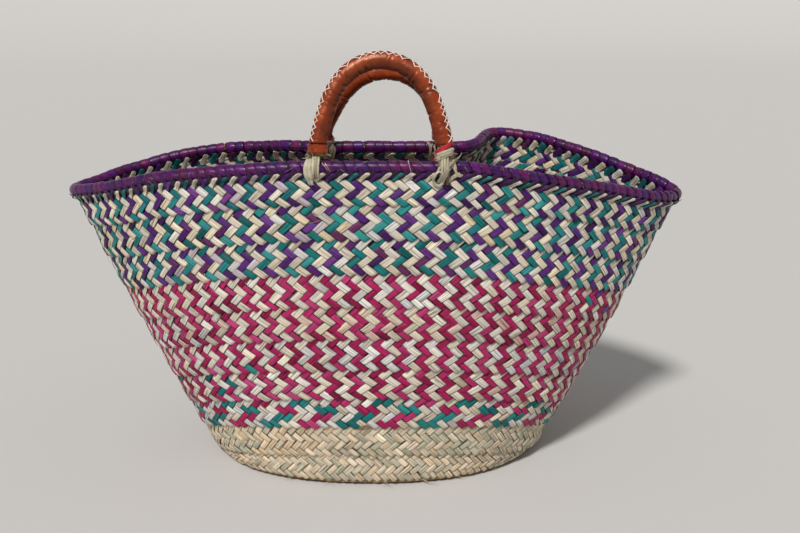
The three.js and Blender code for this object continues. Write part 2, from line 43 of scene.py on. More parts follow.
# =====================================================================
# Driving numbers, in millimetres, the same as the CAD source's
# =====================================================================
SHIFT = np.array([1.471, 3.565, 0.0])
RINGS = np.array([
    [55, 13, 2.2, 2.2, 2.5, 1.0, -1.5], [87, 44, 2.2, 2.2, 2.3, 1.0, -2.5], [119, 75, 2.2, 2.2, 2.25, 1.0, -3.5],
    [151, 106, 2.2, 2.2, 2.25, 1.0, -4.5], [167.5, 113, 6, 34, 2.15, 1.3, -2], [182, 118, 30, 65, 2.15, 0.85, -2.4],
    [196, 123, 54, 96, 2.15, 1.05, -1.5], [211.5, 128, 83, 126, 2.12, 1.3, -1.5], [227.3, 132, 113, 157, 2.1, 1.5, -1.1],
    [243, 135, 144, 188, 2.1, 1.8, -0.9], [258, 138, 175, 219, 2.05, 2.0, -1.3], [272.4, 139, 205, 250, 2.0, 2.0, -1.0],
    [286.4, 139, 236, 281, 2.0, 2.0, -0.5], [301.3, 137, 268, 312, 2.0, 2.0, 0]])
RING0, END_ROUND, M = 3, 0.3, 720
RIM = np.array([
    [-305.3, 0, 272.2], [-266, -45, 280.9], [-243, -64, 287.0], [-219, -80, 293.7], [-196.6, -93, 299.1], [-156, -112, 306.1],
    [-118, -125, 310.9], [-88, -132.5, 313.8], [-68, -136, 315.2], [-50, -136, 315.2], [6, -136, 315.2], [42, -136, 315.2], [78, -136, 315.2],
    [94, -131, 312.5], [116, -124, 308.0], [148, -110, 300.8], [188.6, -88, 292.1], [232, -61, 281.4], [275, -33, 270.4],
    [302.5, 0, 268.6],
    [287, 22, 277.8], [272.6, 42, 282.2], [237, 72, 294.2], [199, 100, 304.6], [179, 118, 308.9], [158.6, 130, 311.3], [136, 132, 313.6],
    [121, 118, 313.6], [113, 95, 311.8], [104, 69, 309.2], [92, 54, 308.3],
    [78, 50.5, 308.6], [42, 50.5, 308.6], [6, 50.5, 308.6], [-50, 50.5, 308.6], [-70, 50.5, 308.6], [-94, 62, 308.2], [-128.6, 83, 304.5],
    [-173, 95, 300.6], [-217.5, 94, 293.7], [-238.6, 88, 288.9], [-258, 79, 283.8], [-275, 64, 280.2], [-289.5, 42, 275.8]])
RIM_RIGHT = 19
HALF_ARCH = np.array([[-55, 11.6], [-54.4, 24.5], [-52.2, 33.5], [-50, 42], [-47.4, 50.6], [-44.2, 59.3], [-39.8, 68], [-34, 76.3],
                      [-25.7, 84.2], [-13.8, 90.6], [0, 93]])
ARCH = {"front": np.vstack([HALF_ARCH, HALF_ARCH[:-1][::-1] * [-1, 1]]),
        "rear": np.array([[-60, 11.6], [-59.7, 24.5], [-58.2, 33.5], [-55.9, 42], [-53.2, 50.6], [-50, 59.3], [-45.4, 68], [-39.3, 76.3],
                          [-30.7, 84.2], [-18.2, 90.6], [-3.2, 93], [10.5, 90.6], [22.4, 84.2], [30.6, 76.3], [37.1, 68], [42.6, 59.3],
                          [47.1, 50.6], [51.2, 42], [55.2, 33.5], [58.6, 24.5], [60, 11.6]])}
FOOT = {"front": 55.0, "rear": 60.0}
FRONT_LEAN, REAR_LEAN = math.radians(12), math.radians(30)
PIVOT = {"front": np.array([7.971, -132.714, 315.351]), "rear": np.array([6.271, 53.729, 308.628])}


# =====================================================================
# The basket's middle surface
# =====================================================================
def spow(v, p):
    return np.sign(v) * np.abs(v) ** p


def resample(P, n, closed=False):
    if closed:
        P = np.vstack([P, P[:1]])
    s = np.r_[0, np.cumsum(np.linalg.norm(np.diff(P, axis=0), axis=1))]
    u = np.linspace(0, s[-1], n + 1)[:-1] if closed else np.linspace(0, s[-1], n)
    return np.stack([np.interp(u, s, P[:, c]) for c in range(P.shape[1])], 1)


def halves(P, i_right):
    out = []
    for h in (P[: i_right + 1], np.vstack([P[i_right:], P[:1]])):
        s = np.r_[0, np.cumsum(np.linalg.norm(np.diff(h, axis=0), axis=1))]
        u = np.arange(M // 2) / (M // 2) * s[-1]
        out.append(np.stack([np.interp(u, s, h[:, c]) for c in range(3)], 1))
    return np.vstack(out)


def catmull(P, n, closed=True):
    """Centripetal Catmull-Rom through the points."""
    P = np.asarray(P, float)
    if not closed:
        P = np.vstack([2 * P[0] - P[1], P, 2 * P[-1] - P[-2]])
    m, out = len(P), []
    span = range(m) if closed else range(1, m - 2)
    for i in span:
        p0, p1, p2, p3 = P[(i - 1) % m], P[i], P[(i + 1) % m], P[(i + 2) % m]
        d0, d1, d2 = (max(math.sqrt(np.linalg.norm(b - a)), 1e-9) for a, b in ((p0, p1), (p1, p2), (p2, p3)))
        m1 = ((p1 - p0) / d0 - (p2 - p0) / (d0 + d1) + (p2 - p1) / d1) * d1
        m2 = ((p2 - p1) / d1 - (p3 - p1) / (d1 + d2) + (p3 - p2) / d2) * d1
        t = np.arange(n)[:, None] / n
        out.append((2 * t**3 - 3 * t**2 + 1) * p1 + (t**3 - 2 * t**2 + t) * m1 + (-2 * t**3 + 3 * t**2) * p2 + (t**3 - t**2) * m2)
    if not closed:
        out.append(P[-2][None])
    return np.vstack(out)


def make_grid():
    E = []
    n = 2880
    a = 2 * np.pi * np.arange(n) / n
    c, s = np.cos(a), np.sin(a)
    for A, B, ZE, ZF, N, Q, XC in RINGS:
        rise = ((s * s + END_ROUND**2) ** (Q / 2) - END_ROUND**Q) / ((1 + END_ROUND**2) ** (Q / 2) - END_ROUND**Q)
        E.append(halves(np.stack([XC - A * spow(c, 2 / N), -B * spow(s, 2 / N), ZE + (ZF - ZE) * rise], 1), n // 2))
    E = np.array(E)
    R = halves(catmull(RIM, 24), RIM_RIGHT * 24)
    D = R - E[-1]
    for _ in range(3):
        D = (np.roll(D, 1, 0) + D + np.roll(D, -1, 0)) / 3
    t = (np.arange(len(RINGS)) - RING0) / 10
    w = np.clip((t - 0.15) / 0.85, 0, 1) ** 1.7
    return (E + w[:, None, None] * D[None] + SHIFT) / 1000.0


GRID = make_grid()
GRID = np.concatenate([2 * GRID[:1] - GRID[1:2], GRID, 2 * GRID[-1:] - GRID[-2:-1]])


def surf(s, t):
    """Points of the middle surface, in metres: s 0..1 round from the left tip along the front, t in braid turns up from the base edge."""
    s, t = np.broadcast_arrays(np.asarray(s, float), np.asarray(t, float))
    x = (s % 1.0) * M
    i = np.floor(x).astype(int) % M
    f = (x - np.floor(x))[..., None]
    r = t + RING0
    k = np.clip(np.floor(r).astype(int), 0, len(RINGS) - 2)
    u = (r - k)[..., None]
    j = (i + 1) % M
    a, b, c, d = (GRID[k + o, i] * (1 - f) + GRID[k + o, j] * f for o in range(4))
    return 0.5 * (2 * b + (c - a) * u + (2 * a - 5 * b + 4 * c - d) * u**2 + (3 * b - a - 3 * c + d) * u**3)


def unit(v):
    return v / np.maximum(np.linalg.norm(v, axis=-1, keepdims=True), 1e-12)


def frames(s, t):
    """Point, direction along the turn, direction across it and outward normal."""
    P = surf(s, t)
    ds = unit(surf(np.asarray(s) + 0.004, t) - surf(np.asarray(s) - 0.004, t))
    dt = unit(surf(s, np.asarray(t) + 0.05) - surf(s, np.asarray(t) - 0.05))
    return P, ds, dt, unit(np.cross(ds, dt))


def rim_frames(s):
    P = surf(s, 10.0)
    _, ds, dt, n = frames(s, np.full(np.shape(s), 9.999))
    up = unit(np.cross(ds, n)) * -1
    up = np.where((up * dt).sum(-1, keepdims=True) < 0, -up, up)
    return P, ds, up, n


def smooth(x):
    x = np.clip(x, 0, 1)
    return x * x * (3 - 2 * x)


def turn_length(t):
    P = surf(np.arange(720) / 720, np.full(720, float(t)))
    return np.linalg.norm(P - np.roll(P, -1, 0), axis=1).sum()


# =====================================================================
# Mesh helpers
# =====================================================================
def srgb(r, g, b):
    c = np.array([r, g, b], float) / 255.0
    return np.where(c <= 0.04045, c / 12.92, ((c + 0.055) / 1.055) ** 2.4)


def volume_sign(V, F):
    a = V[F[:, 0]]
    v = 0.0
    for i in range(1, F.shape[1] - 1):
        v += (a * np.cross(V[F[:, i]], V[F[:, i + 1]])).sum()
    return v


def build(name, V, faces, material, uv=None, attrs=None, sharp=55.0, flip=None):
    """One mesh object. faces is a list of face arrays, uv a matching list of (faces, corners, 2)."""
    V = np.ascontiguousarray(V, float).reshape(-1, 3)
    faces = [np.asarray(f, np.int64) for f in faces if len(f)]
    vol = sum(volume_sign(V - V.mean(0), f) for f in faces)
    if flip is None:
        flip = vol < 0
    if flip:
        faces = [f[:, ::-1] for f in faces]
        if uv is not None:
            uv = [u[:, ::-1] for u in uv]
    me = bpy.data.meshes.new(name)
    me.vertices.add(len(V))
    me.vertices.foreach_set("co", V.astype(np.float32).ravel())
    loops = np.concatenate([f.ravel() for f in faces])
    sizes = np.concatenate([np.full(len(f), f.shape[1]) for f in faces])
    starts = np.r_[0, np.cumsum(sizes)[:-1]]
    me.loops.add(len(loops))
    me.loops.foreach_set("vertex_index", loops.astype(np.int32))
    me.polygons.add(len(sizes))
    me.polygons.foreach_set("loop_start", starts.astype(np.int32))
    me.update(calc_edges=True)
    me.polygons.foreach_set("use_smooth", np.ones(len(sizes), bool))
    if uv is not None:
        layer = me.uv_layers.new(name="OFBake")
        layer.data.foreach_set("uv", np.concatenate([u.reshape(-1, 2) for u in uv]).astype(np.float32).ravel())
    for key, value in (attrs or {}).items():
        value = np.asarray(value, np.float32).reshape(len(V), -1)
        kind = {1: "FLOAT", 3: "FLOAT_VECTOR", 4: "FLOAT_COLOR"}[value.shape[1]]
        a = me.attributes.new(key, kind, "POINT")
        a.data.foreach_set({"FLOAT": "value", "FLOAT_VECTOR": "vector", "FLOAT_COLOR": "color"}[kind], value.ravel())
    if sharp:
        me.set_sharp_from_angle(angle=math.radians(sharp))
    me.materials.append(material)
    ob = bpy.data.objects.new(name, me)
    scene.collection.objects.link(ob)
    return ob


class Parts:
    """Gathers swept pieces into one mesh, each piece with its own islands in the bake map."""

    def __init__(self):
        self.V, self.Q, self.T, self.isl, self.at = [], [], [], [], {}
        self.n = 0

    def add(self, P, closed=False, **attrs):
        """P is (sections, points, 3). Each attribute spreads over (sections, points, its width)."""
        m, n = P.shape[:2]
        base = self.n
        self.V.append(P.reshape(-1, 3))
        i = np.arange(m if closed else m - 1)
        j = np.arange(n)
        I, J = np.meshgrid(i, j, indexing="ij")
        I2, J2 = (I + 1) % m, (J + 1) % n
        q = np.stack([I * n + J, I2 * n + J, I2 * n + J2, I * n + J2], -1).reshape(-1, 4)
        mid = P.mean(1)
        flat = P.reshape(-1, 3)
        a, b, c, d = (flat[q[:, k]] for k in range(4))
        out = (a + b + c + d) / 4 - (mid[I.ravel()] + mid[I2.ravel()]) / 2
        rev = (np.cross(c - a, d - b) * out).sum() < 0
        step = np.linalg.norm(np.diff(mid, axis=0), axis=1)
        end = np.linalg.norm(mid[-1] - mid[0]) if closed else 0
        length = np.r_[0, np.cumsum(step), np.sum(step) + end]
        ring = P[m // 2]
        girth = np.r_[0, np.cumsum(np.linalg.norm(ring - np.roll(ring, -1, 0), axis=1))]
        self.isl.append((length, girth, I.ravel(), J.ravel(), rev))
        q = q + base
        self.Q.append(q[:, ::-1] if rev else q)
        extra = 0
        if not closed:
            r0 = base + j
            r1 = np.roll(r0, -1)
            t0 = np.stack([np.full(n, base + m * n), r0, r1], -1)
            e = (m - 1) * n
            t1 = np.stack([np.full(n, base + m * n + 1), r1 + e, r0 + e], -1)
            self.T += [t0[:, ::-1], t1[:, ::-1]] if rev else [t0, t1]
            self.V.append(np.stack([mid[0], mid[-1]]))
            extra = 2
        for key, value in attrs.items():
            value = np.asarray(value, float)
            w = value.shape[-1]
            full = np.broadcast_to(value, (m, n, w)).reshape(m * n, w)
            if extra:
                full = np.vstack([full, full[:n].mean(0, keepdims=True), full[-n:].mean(0, keepdims=True)])
            self.at.setdefault(key, []).append(full)
        self.n += m * n + extra

    def make(self, name, material, body, slot, replaces=(), sharp=55.0):
        rows = [(g[-1], l[-1]) for l, g, *_ in self.isl]
        order = np.argsort([-g for g, _ in rows], kind="stable")
        total = sum(g * l for g, l in rows)
        width = math.sqrt(total * 1.25) + 1e-9
        pad = width / 600
        y, x, tall = 0.0, 0.0, 0.0
        placed = [None] * len(rows)
        for num in order:
            g, l = rows[num]
            cuts = max(1, math.ceil(l / width))
            part = l / cuts
            spots = []
            for _ in range(cuts):
                if x + part > width * 1.001:
                    y += tall + pad
                    x, tall = 0.0, 0.0
                spots.append((x, y))
                x += part + pad
                tall = max(tall, g)
            placed[num] = (cuts, part, np.array(spots))
        side = max(y + tall + pad, width * 1.002 + 2 * pad) * 1.01
        uvs = []
        for (length, girth, I, J, rev), (cuts, part, spots) in zip(self.isl, placed):
            a, b = length[I], length[I + 1]
            cut = np.clip((0.5 * (a + b) / max(part, 1e-9)).astype(int), 0, cuts - 1)
            o = spots[cut]
            ax, bx = np.clip(a - cut * part, 0, part) + o[:, 0], np.clip(b - cut * part, 0, part) + o[:, 0]
            lo, hi = girth[J] + o[:, 1], girth[J + 1] + o[:, 1]
            c = np.stack([np.stack([ax, lo], -1), np.stack([bx, lo], -1), np.stack([bx, hi], -1), np.stack([ax, hi], -1)], 1) / side
            uvs.append(c[:, ::-1] if rev else c)
        faces = [np.concatenate(self.Q)]
        uv = [np.concatenate(uvs)]
        if self.T:
            T = np.concatenate(self.T)
            faces.append(T)
            corner = np.array([[0.994, 0.994], [0.998, 0.994], [0.996, 0.998]])
            uv.append(np.broadcast_to(corner, (len(T), 3, 2)))
        attrs = {k: np.concatenate(v) for k, v in self.at.items()}
        ob = build(name, np.concatenate(self.V), faces, material, uv=uv, attrs=attrs, flip=False, sharp=sharp)
        return settle(ob, body, replaces)


def settle(ob, body, replaces=()):
    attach(ob, body)
    if replaces:
        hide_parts(*replaces)
    return ob


def transport(P, start=None, closed=False):
    """Tangents and a twist-free normal along a path."""
    if closed:
        T = unit(np.roll(P, -1, 0) - np.roll(P, 1, 0))
    else:
        T = unit(np.gradient(P, axis=0))
    N = np.zeros_like(P)
    if start is None:
        start = np.array([0, 0, 1.0]) if abs(T[0][2]) < 0.9 else np.array([1.0, 0, 0])
    n = np.asarray(start, float)
    for i, t in enumerate(T):
        n = n - t * (n @ t)
        n = n / max(np.linalg.norm(n), 1e-12)
        N[i] = n
    return T, N


def tube(P, r, sides=8, start=None, closed=False):
    """Round tube sections along a path. r is one radius or one for each point."""
    T, N = transport(P, start, closed)
    B = np.cross(T, N)
    r = np.broadcast_to(r, (len(P),))[:, None, None]
    a = 2 * np.pi * np.arange(sides) / sides
    a = np.broadcast_to(a[None, :], (len(P), sides))
    return P[:, None] + r * (np.cos(a)[..., None] * N[:, None] + np.sin(a)[..., None] * B[:, None])


def two_ply(P, r, turn_len, sides=6, closed=False, sink=0.08):
    """Two strands twisted round each other along a path: list of two tubes' sections."""
    T, N = transport(P, None, closed)
    B = np.cross(T, N)
    step = np.linalg.norm(np.diff(P, axis=0), axis=1)
    run = np.r_[0, np.cumsum(step)]
    total = run[-1] + (np.linalg.norm(P[-1] - P[0]) if closed else 0)
    if closed:      # the carried normal comes back turned by some angle, and a whole number of twists makes up for it
        n1 = N[-1] - T[0] * (N[-1] @ T[0])
        gap = math.atan2(np.cross(N[0], n1 / np.linalg.norm(n1)) @ T[0], N[0] @ n1 / np.linalg.norm(n1))
        turns = round(total / turn_len) * 2 * np.pi - gap
    else:
        turns = total / turn_len * 2 * np.pi
    out = []
    for k in (0, 1):
        a = run / total * turns + k * np.pi
        C = P + (r * (1 - sink)) * (np.cos(a)[:, None] * N + np.sin(a)[:, None] * B)
        out.append(tube(C, r, sides, closed=closed))
    return out


RX = np.array([-0.5, -0.44, -0.2, -0.14, -0.08, 0.16, 0.22, 0.28, 0.44, 0.5, 0.5, 0.2, -0.2, -0.5])
RZ = np.array([0.3, 0.85, 1, 0.35, 1.05, 1.1, 0.45, 1.0, 0.85, 0.3, -0.3, -1, -1, -0.3])
# painted shade: each strip's colour is darker at the bottoms of its two grooves
GROOVE_SHADE = np.array([1, 1, 1, 0.62, 1, 1, 0.68, 1, 1, 1, 1, 1, 1, 1])


def ribbon(P, N, width, thick, curl=0.0, tips=None):
    """Leaf strip with two lengthwise grooves: (sections, 14, 3). N is the face normal for each point."""
    m = len(P)
    T = unit(np.gradient(P, axis=0))
    N = unit(N - T * (N * T).sum(-1, keepdims=True))
    B = np.cross(T, N)
    w = np.broadcast_to(width, (m,)).astype(float)
    h = np.broadcast_to(thick, (m,)).astype(float) / 2
    if tips:
        q = np.linspace(0, 1, m)
        e = np.clip(np.minimum((q + 0.004) / max(tips[0], 1e-6), (1 - q + 0.004) / max(tips[1], 1e-6)), 0.1, 1) ** 0.6
        w, h = w * e, h * (0.4 + 0.6 * e)
    bend = -curl * w[:, None] * (2 * RX[None]) ** 2
    return P[:, None] + (w[:, None] * RX)[..., None] * B[:, None] + (h[:, None] * RZ + bend)[..., None] * N[:, None]


def smooth_path(points, n, extra=None):
    """Even points along a smooth curve through the given ones, with other columns carried along."""
    Q = np.asarray(points, float)
    if extra is not None:
        Q = np.hstack([Q, np.asarray(extra, float)])
    C = catmull(Q[:, :3], 16, closed=False)
    full = [C]
    if extra is not None:
        a = np.linspace(0, len(Q) - 1, len(C))
        for c in range(3, Q.shape[1]):
            full.append(np.interp(a, np.arange(len(Q)), Q[:, c])[:, None])
    C = np.hstack(full)
    s = np.r_[0, np.cumsum(np.linalg.norm(np.diff(C[:, :3], axis=0), axis=1))]
    u = np.linspace(0, s[-1], n)
    return np.stack([np.interp(u, s, C[:, c]) for c in range(C.shape[1])], 1)


strip_count = [0]


def strip(parts, r, points, normals, width, thick, colour, n=26, curl=0.06, tips=(0.12, 0.12), shade=0.16):
    """A leaf strip along points (metres) with face normals, in one colour with its own tone."""
    Q = smooth_path(points, n, normals)
    P, N = Q[:, :3], Q[:, 3:6]
    R = ribbon(P, N, width, thick, curl, tips)
    strip_count[0] += 1
    c = np.asarray(colour, float) * math.exp(r.normal(0, shade))
    wave = 1 + 0.10 * np.sin(np.linspace(0, 3 + 4 * r.random(), n) + 6 * r.random())
    rgb = c[None, None, :] * wave[:, None, None] * GROOVE_SHADE[None, :, None]
    rgba = np.concatenate([np.clip(rgb, 0.003, 0.9), np.ones(rgb.shape[:2] + (1,))], -1)
    run = np.linalg.norm(np.diff(P, axis=0), axis=1).sum() * np.linspace(0, 1, n)
    runv = np.stack([np.broadcast_to(run[:, None], (n, 14)), np.broadcast_to(RX[None], (n, 14)), np.full((n, 14), float(strip_count[0] % 97))], -1)
    parts.add(R, leaf_col=rgba, leaf_run=runv)


def pchip(xk, yk):
    """Monotone cubic through knots, straight on outside them."""
    xk, yk = np.asarray(xk, float), np.asarray(yk, float)
    h = np.diff(xk)
    dl = np.diff(yk) / h
    m = np.zeros_like(yk)
    m[0], m[-1] = dl[0], dl[-1]
    for i in range(1, len(xk) - 1):
        if dl[i - 1] * dl[i] > 0:
            w1, w2 = 2 * h[i] + h[i - 1], h[i] + 2 * h[i - 1]
            m[i] = (w1 + w2) / (w1 / dl[i - 1] + w2 / dl[i])

    def f(x):
        x = np.asarray(x, float)
        i = np.clip(np.searchsorted(xk, x) - 1, 0, len(h) - 1)
        q = (x - xk[i]) / h[i]
        a = np.clip(q, 0, 1)
        y = (2 * a**3 - 3 * a**2 + 1) * yk[i] + (a**3 - 2 * a**2 + a) * h[i] * m[i] + (-2 * a**3 + 3 * a**2) * yk[i + 1] + (a**3 - a**2) * h[i] * m[i + 1]
        return y + np.where(q < 0, q * h[i] * m[i], 0) + np.where(q > 1, (q - 1) * h[i] * m[i + 1], 0)

    return f


# =====================================================================
# Materials
# =====================================================================
def new_material(name):
    mat = bpy.data.materials.new(name)
    mat.use_nodes = True
    nt = mat.node_tree
    nt.nodes.clear()
    out = nt.nodes.new("ShaderNodeOutputMaterial")
    sh = nt.nodes.new("ShaderNodeBsdfPrincipled")
    nt.links.new(sh.outputs[0], out.inputs[0])
    return mat, nt, sh


def node(nt, kind, **values):
    n = nt.nodes.new(kind)
    for key, v in values.items():
        if key.startswith("i_"):
            k = key[2:]
            k = int(k) if k.isdigit() else k.replace("_", " ")
            n.inputs[k].default_value = v
        else:
            setattr(n, key, v)
    return n


def mix_colour(nt, a, b, fac, blend="MIX"):
    m = nt.nodes.new("ShaderNodeMix")
    m.data_type, m.blend_type = "RGBA", blend
    for sock, v in ((m.inputs[0], fac), (m.inputs[6], a), (m.inputs[7], b)):
        if isinstance(v, bpy.types.NodeSocket):
            nt.links.new(v, sock)
        else:
            sock.default_value = v if isinstance(v, float) else (*v, 1.0)
    return m.outputs[2]


def math_node(nt, op, a, b=None, c=None, clamp=False):
    m = nt.nodes.new("ShaderNodeMath")
    m.operation, m.use_clamp = op, clamp
    for sock, v in zip(m.inputs, (a, b, c)):
        if v is None:
            continue
        if isinstance(v, bpy.types.NodeSocket):
            nt.links.new(v, sock)
        else:
            sock.default_value = v
    return m.outputs[0]


def ramp(nt, value, stops):
    r = nt.nodes.new("ShaderNodeValToRGB")
    nt.links.new(value, r.inputs[0])
    e = r.color_ramp.elements
    while len(e) < len(stops):
        e.new(0.5)
    for el, (pos, v) in zip(e, stops):
        el.position = pos
        el.color = (v, v, v, 1) if np.isscalar(v) else (*v, 1)
    return r.outputs[0]


def leaf_material(name, rough=0.5, spec=0.45, grain=0.5, bump=0.35, fibre=1.0):
    """Dried leaf strip: colour from the mesh, lengthwise fibres and splits from its own run."""
    mat, nt, sh = new_material(name)
    col = node(nt, "ShaderNodeAttribute", attribute_name="leaf_col")
    pos = node(nt, "ShaderNodeAttribute", attribute_name="leaf_run")   # along (m), across (-.5 .. .5), strand number
    sep = node(nt, "ShaderNodeSeparateXYZ")
    nt.links.new(pos.outputs["Vector"], sep.inputs[0])
    along, across, strand = sep.outputs
    # fine lengthwise fibres
    v1 = node(nt, "ShaderNodeCombineXYZ")
    nt.links.new(math_node(nt, "MULTIPLY", along, 55.0), v1.inputs[0])
    nt.links.new(math_node(nt, "MULTIPLY", across, 15.0 * fibre), v1.inputs[1])
    nt.links.new(math_node(nt, "MULTIPLY", strand, 7.31), v1.inputs[2])
    n1 = node(nt, "ShaderNodeTexNoise", i_Scale=1.0, i_Detail=3.0, i_Roughness=0.6)
    nt.links.new(v1.outputs[0], n1.inputs["Vector"])
    # broad tone bands and stains
    v2 = node(nt, "ShaderNodeCombineXYZ")
    nt.links.new(math_node(nt, "MULTIPLY", along, 28.0), v2.inputs[0])
    nt.links.new(math_node(nt, "MULTIPLY", across, 3.2), v2.inputs[1])
    nt.links.new(math_node(nt, "MULTIPLY", strand, 3.77), v2.inputs[2])
    n2 = node(nt, "ShaderNodeTexNoise", i_Scale=1.0, i_Detail=2.0, i_Roughness=0.5)
    nt.links.new(v2.outputs[0], n2.inputs["Vector"])
    # now and then a split line that runs a while along the leaf
    v3 = node(nt, "ShaderNodeCombineXYZ")
    nt.links.new(math_node(nt, "MULTIPLY", along, 16.0), v3.inputs[0])
    nt.links.new(math_node(nt, "MULTIPLY", across, 5.0), v3.inputs[1])
    nt.links.new(math_node(nt, "MULTIPLY", strand, 5.13), v3.inputs[2])
    n3 = node(nt, "ShaderNodeTexNoise", i_Scale=1.0, i_Detail=0.0)
    nt.links.new(v3.outputs[0], n3.inputs["Vector"])
    line = math_node(nt, "ABSOLUTE", math_node(nt, "SUBTRACT", n3.outputs[0], 0.55))
    split = ramp(nt, line, [(0.0, 0.0), (0.02, 0.2), (0.045, 1.0)])
    fibre_v = ramp(nt, n1.outputs[0], [(0.28, 1 - 0.42 * grain), (0.48, 1.0), (0.75, 1 + 0.12 * grain)])
    tone_v = ramp(nt, n2.outputs[0], [(0.3, 1 - 0.22 * grain), (0.55, 1.0), (0.8, 1.0)])
    c = mix_colour(nt, col.outputs["Color"], fibre_v, 1.0, "MULTIPLY")
    c = mix_colour(nt, c, tone_v, 1.0, "MULTIPLY")
    dark = mix_colour(nt, c, (0.28, 0.22, 0.16), 0.75, "MULTIPLY")
    c = mix_colour(nt, dark, c, split)
    nt.links.new(c, sh.inputs["Base Color"])
    rr = ramp(nt, n2.outputs[0], [(0.25, min(1, rough + 0.12)), (0.7, rough - 0.07)])
    nt.links.new(rr, sh.inputs["Roughness"])
    sh.inputs["Specular IOR Level"].default_value = spec
    height = math_node(nt, "ADD", math_node(nt, "MULTIPLY", n1.outputs[0], 0.6), math_node(nt, "MULTIPLY", split, 0.5))
    b = node(nt, "ShaderNodeBump", i_Strength=bump, i_Distance=0.0006)
    nt.links.new(height, b.inputs["Height"])
    nt.links.new(b.outputs[0], sh.inputs["Normal"])
    return mat


def leather_material():
    mat, nt, sh = new_material("tan_leather")
    co = node(nt, "ShaderNodeTexCoord")
    crease = node(nt, "ShaderNodeAttribute", attribute_name="crease")
    big = node(nt, "ShaderNodeTexNoise", i_Scale=55.0, i_Detail=3.0, i_Roughness=0.6)
    nt.links.new(co.outputs["Object"], big.inputs["Vector"])
    small = node(nt, "ShaderNodeTexNoise", i_Scale=420.0, i_Detail=4.0, i_Roughness=0.65)
    nt.links.new(co.outputs["Object"], small.inputs["Vector"])
    pore = node(nt, "ShaderNodeTexVoronoi", i_Scale=1300.0)
    nt.links.new(co.outputs["Object"], pore.inputs["Vector"])
    c = ramp(nt, big.outputs[0], [(0.25, tuple(srgb(100, 30, 10))), (0.5, tuple(srgb(150, 54, 20))), (0.78, tuple(srgb(188, 84, 34)))])
    # painted shade: drawn towards a deep brown in the creases, the seam groove and along the inner side, which are also
    # made rougher
    c = mix_colour(nt, c, tuple(srgb(38, 8, 3)), math_node(nt, "MULTIPLY", crease.outputs["Fac"], 0.85, clamp=True))
    c = mix_colour(nt, c, ramp(nt, small.outputs[0], [(0.3, 0.82), (0.6, 1.0)]), 1.0, "MULTIPLY")
    nt.links.new(c, sh.inputs["Base Color"])
    rr = ramp(nt, math_node(nt, "ADD", small.outputs[0], math_node(nt, "MULTIPLY", crease.outputs["Fac"], 0.4)), [(0.3, 0.22), (0.8, 0.44)])
    nt.links.new(rr, sh.inputs["Roughness"])
    sh.inputs["Specular IOR Level"].default_value = 0.6
    sh.inputs["Specular Tint"].default_value = (1.0, 0.72, 0.5, 1.0)
    sh.inputs["Coat Weight"].default_value = 0.0
    sh.inputs["Coat Roughness"].default_value = 0.22
    h = math_node(nt, "ADD", math_node(nt, "MULTIPLY", small.outputs[0], 0.7), math_node(nt, "MULTIPLY", pore.outputs["Distance"], 0.5))
    b = node(nt, "ShaderNodeBump", i_Strength=0.3, i_Distance=0.0005)
    nt.links.new(h, b.inputs["Height"])
    nt.links.new(b.outputs[0], sh.inputs["Normal"])
    return mat


def fibre_material(name, light, dark, rough=0.75, scale=900.0, bump=0.5, spec=0.3):
    """Twisted or bundled fibre and thread."""
    mat, nt, sh = new_material(name)
    co = node(nt, "ShaderNodeTexCoord")
    a = node(nt, "ShaderNodeTexNoise", i_Scale=scale, i_Detail=4.0, i_Roughness=0.7)
    b2 = node(nt, "ShaderNodeTexNoise", i_Scale=scale * 0.09, i_Detail=2.0)
    nt.links.new(co.outputs["Object"], a.inputs["Vector"])
    nt.links.new(co.outputs["Object"], b2.inputs["Vector"])
    c = ramp(nt, a.outputs[0], [(0.32, tuple(dark)), (0.62, tuple(light))])
    c = mix_colour(nt, c, ramp(nt, b2.outputs[0], [(0.3, 0.8), (0.65, 1.05)]), 1.0, "MULTIPLY")
    nt.links.new(c, sh.inputs["Base Color"])
    sh.inputs["Roughness"].default_value = rough
    sh.inputs["Specular IOR Level"].default_value = spec
    b = node(nt, "ShaderNodeBump", i_Strength=bump, i_Distance=0.0004)
    nt.links.new(a.outputs[0], b.inputs["Height"])
    nt.links.new(b.outputs[0], sh.inputs["Normal"])
    return mat


LEAF = leaf_material("palm_leaf", rough=0.46, spec=0.24, grain=0.9, bump=0.7)
RIM_LEAF = leaf_material("rim_leaf", rough=0.3, spec=0.38, grain=0.45, bump=0.35, fibre=1.6)
TIE_LEAF = leaf_material("tie_leaf", rough=0.5, spec=0.4, grain=0.8, bump=0.55, fibre=0.8)
LEATHER = leather_material()
TWINE = fibre_material("palm_twine", srgb(196, 180, 138), srgb(112, 96, 62), scale=1100)
RIB = fibre_material("palm_rib", srgb(170, 150, 104), srgb(90, 72, 42), scale=700)
ROPE = fibre_material("palm_rope", srgb(188, 170, 122), srgb(98, 80, 48), scale=800, rough=0.85)
WHITE = fibre_material("white_thread", srgb(238, 230, 222), srgb(206, 190, 178), scale=2600, rough=0.6, bump=0.4, spec=0.35)
RED = fibre_material("red_thread", srgb(206, 46, 62), srgb(140, 16, 30), scale=2600, rough=0.62, bump=0.5)
EDGE_CORD = fibre_material("edge_cord", srgb(188, 150, 96), srgb(128, 92, 52), scale=1200)

# Colours of the leaf, linear
NAT_TOP, NAT_MID, NAT_LOW = srgb(222, 213, 198), srgb(222, 212, 197), srgb(220, 204, 180)
TEAL, PURPLE, MAGENTA = srgb(22, 119, 121), srgb(80, 29, 109), srgb(172, 30, 90)
LIGHT = {3: srgb(78, 182, 180), 4: srgb(140, 84, 176), 5: srgb(208, 90, 148)}
DEEP = {3: srgb(6, 76, 80), 4: srgb(44, 10, 64), 5: srgb(124, 10, 56)}


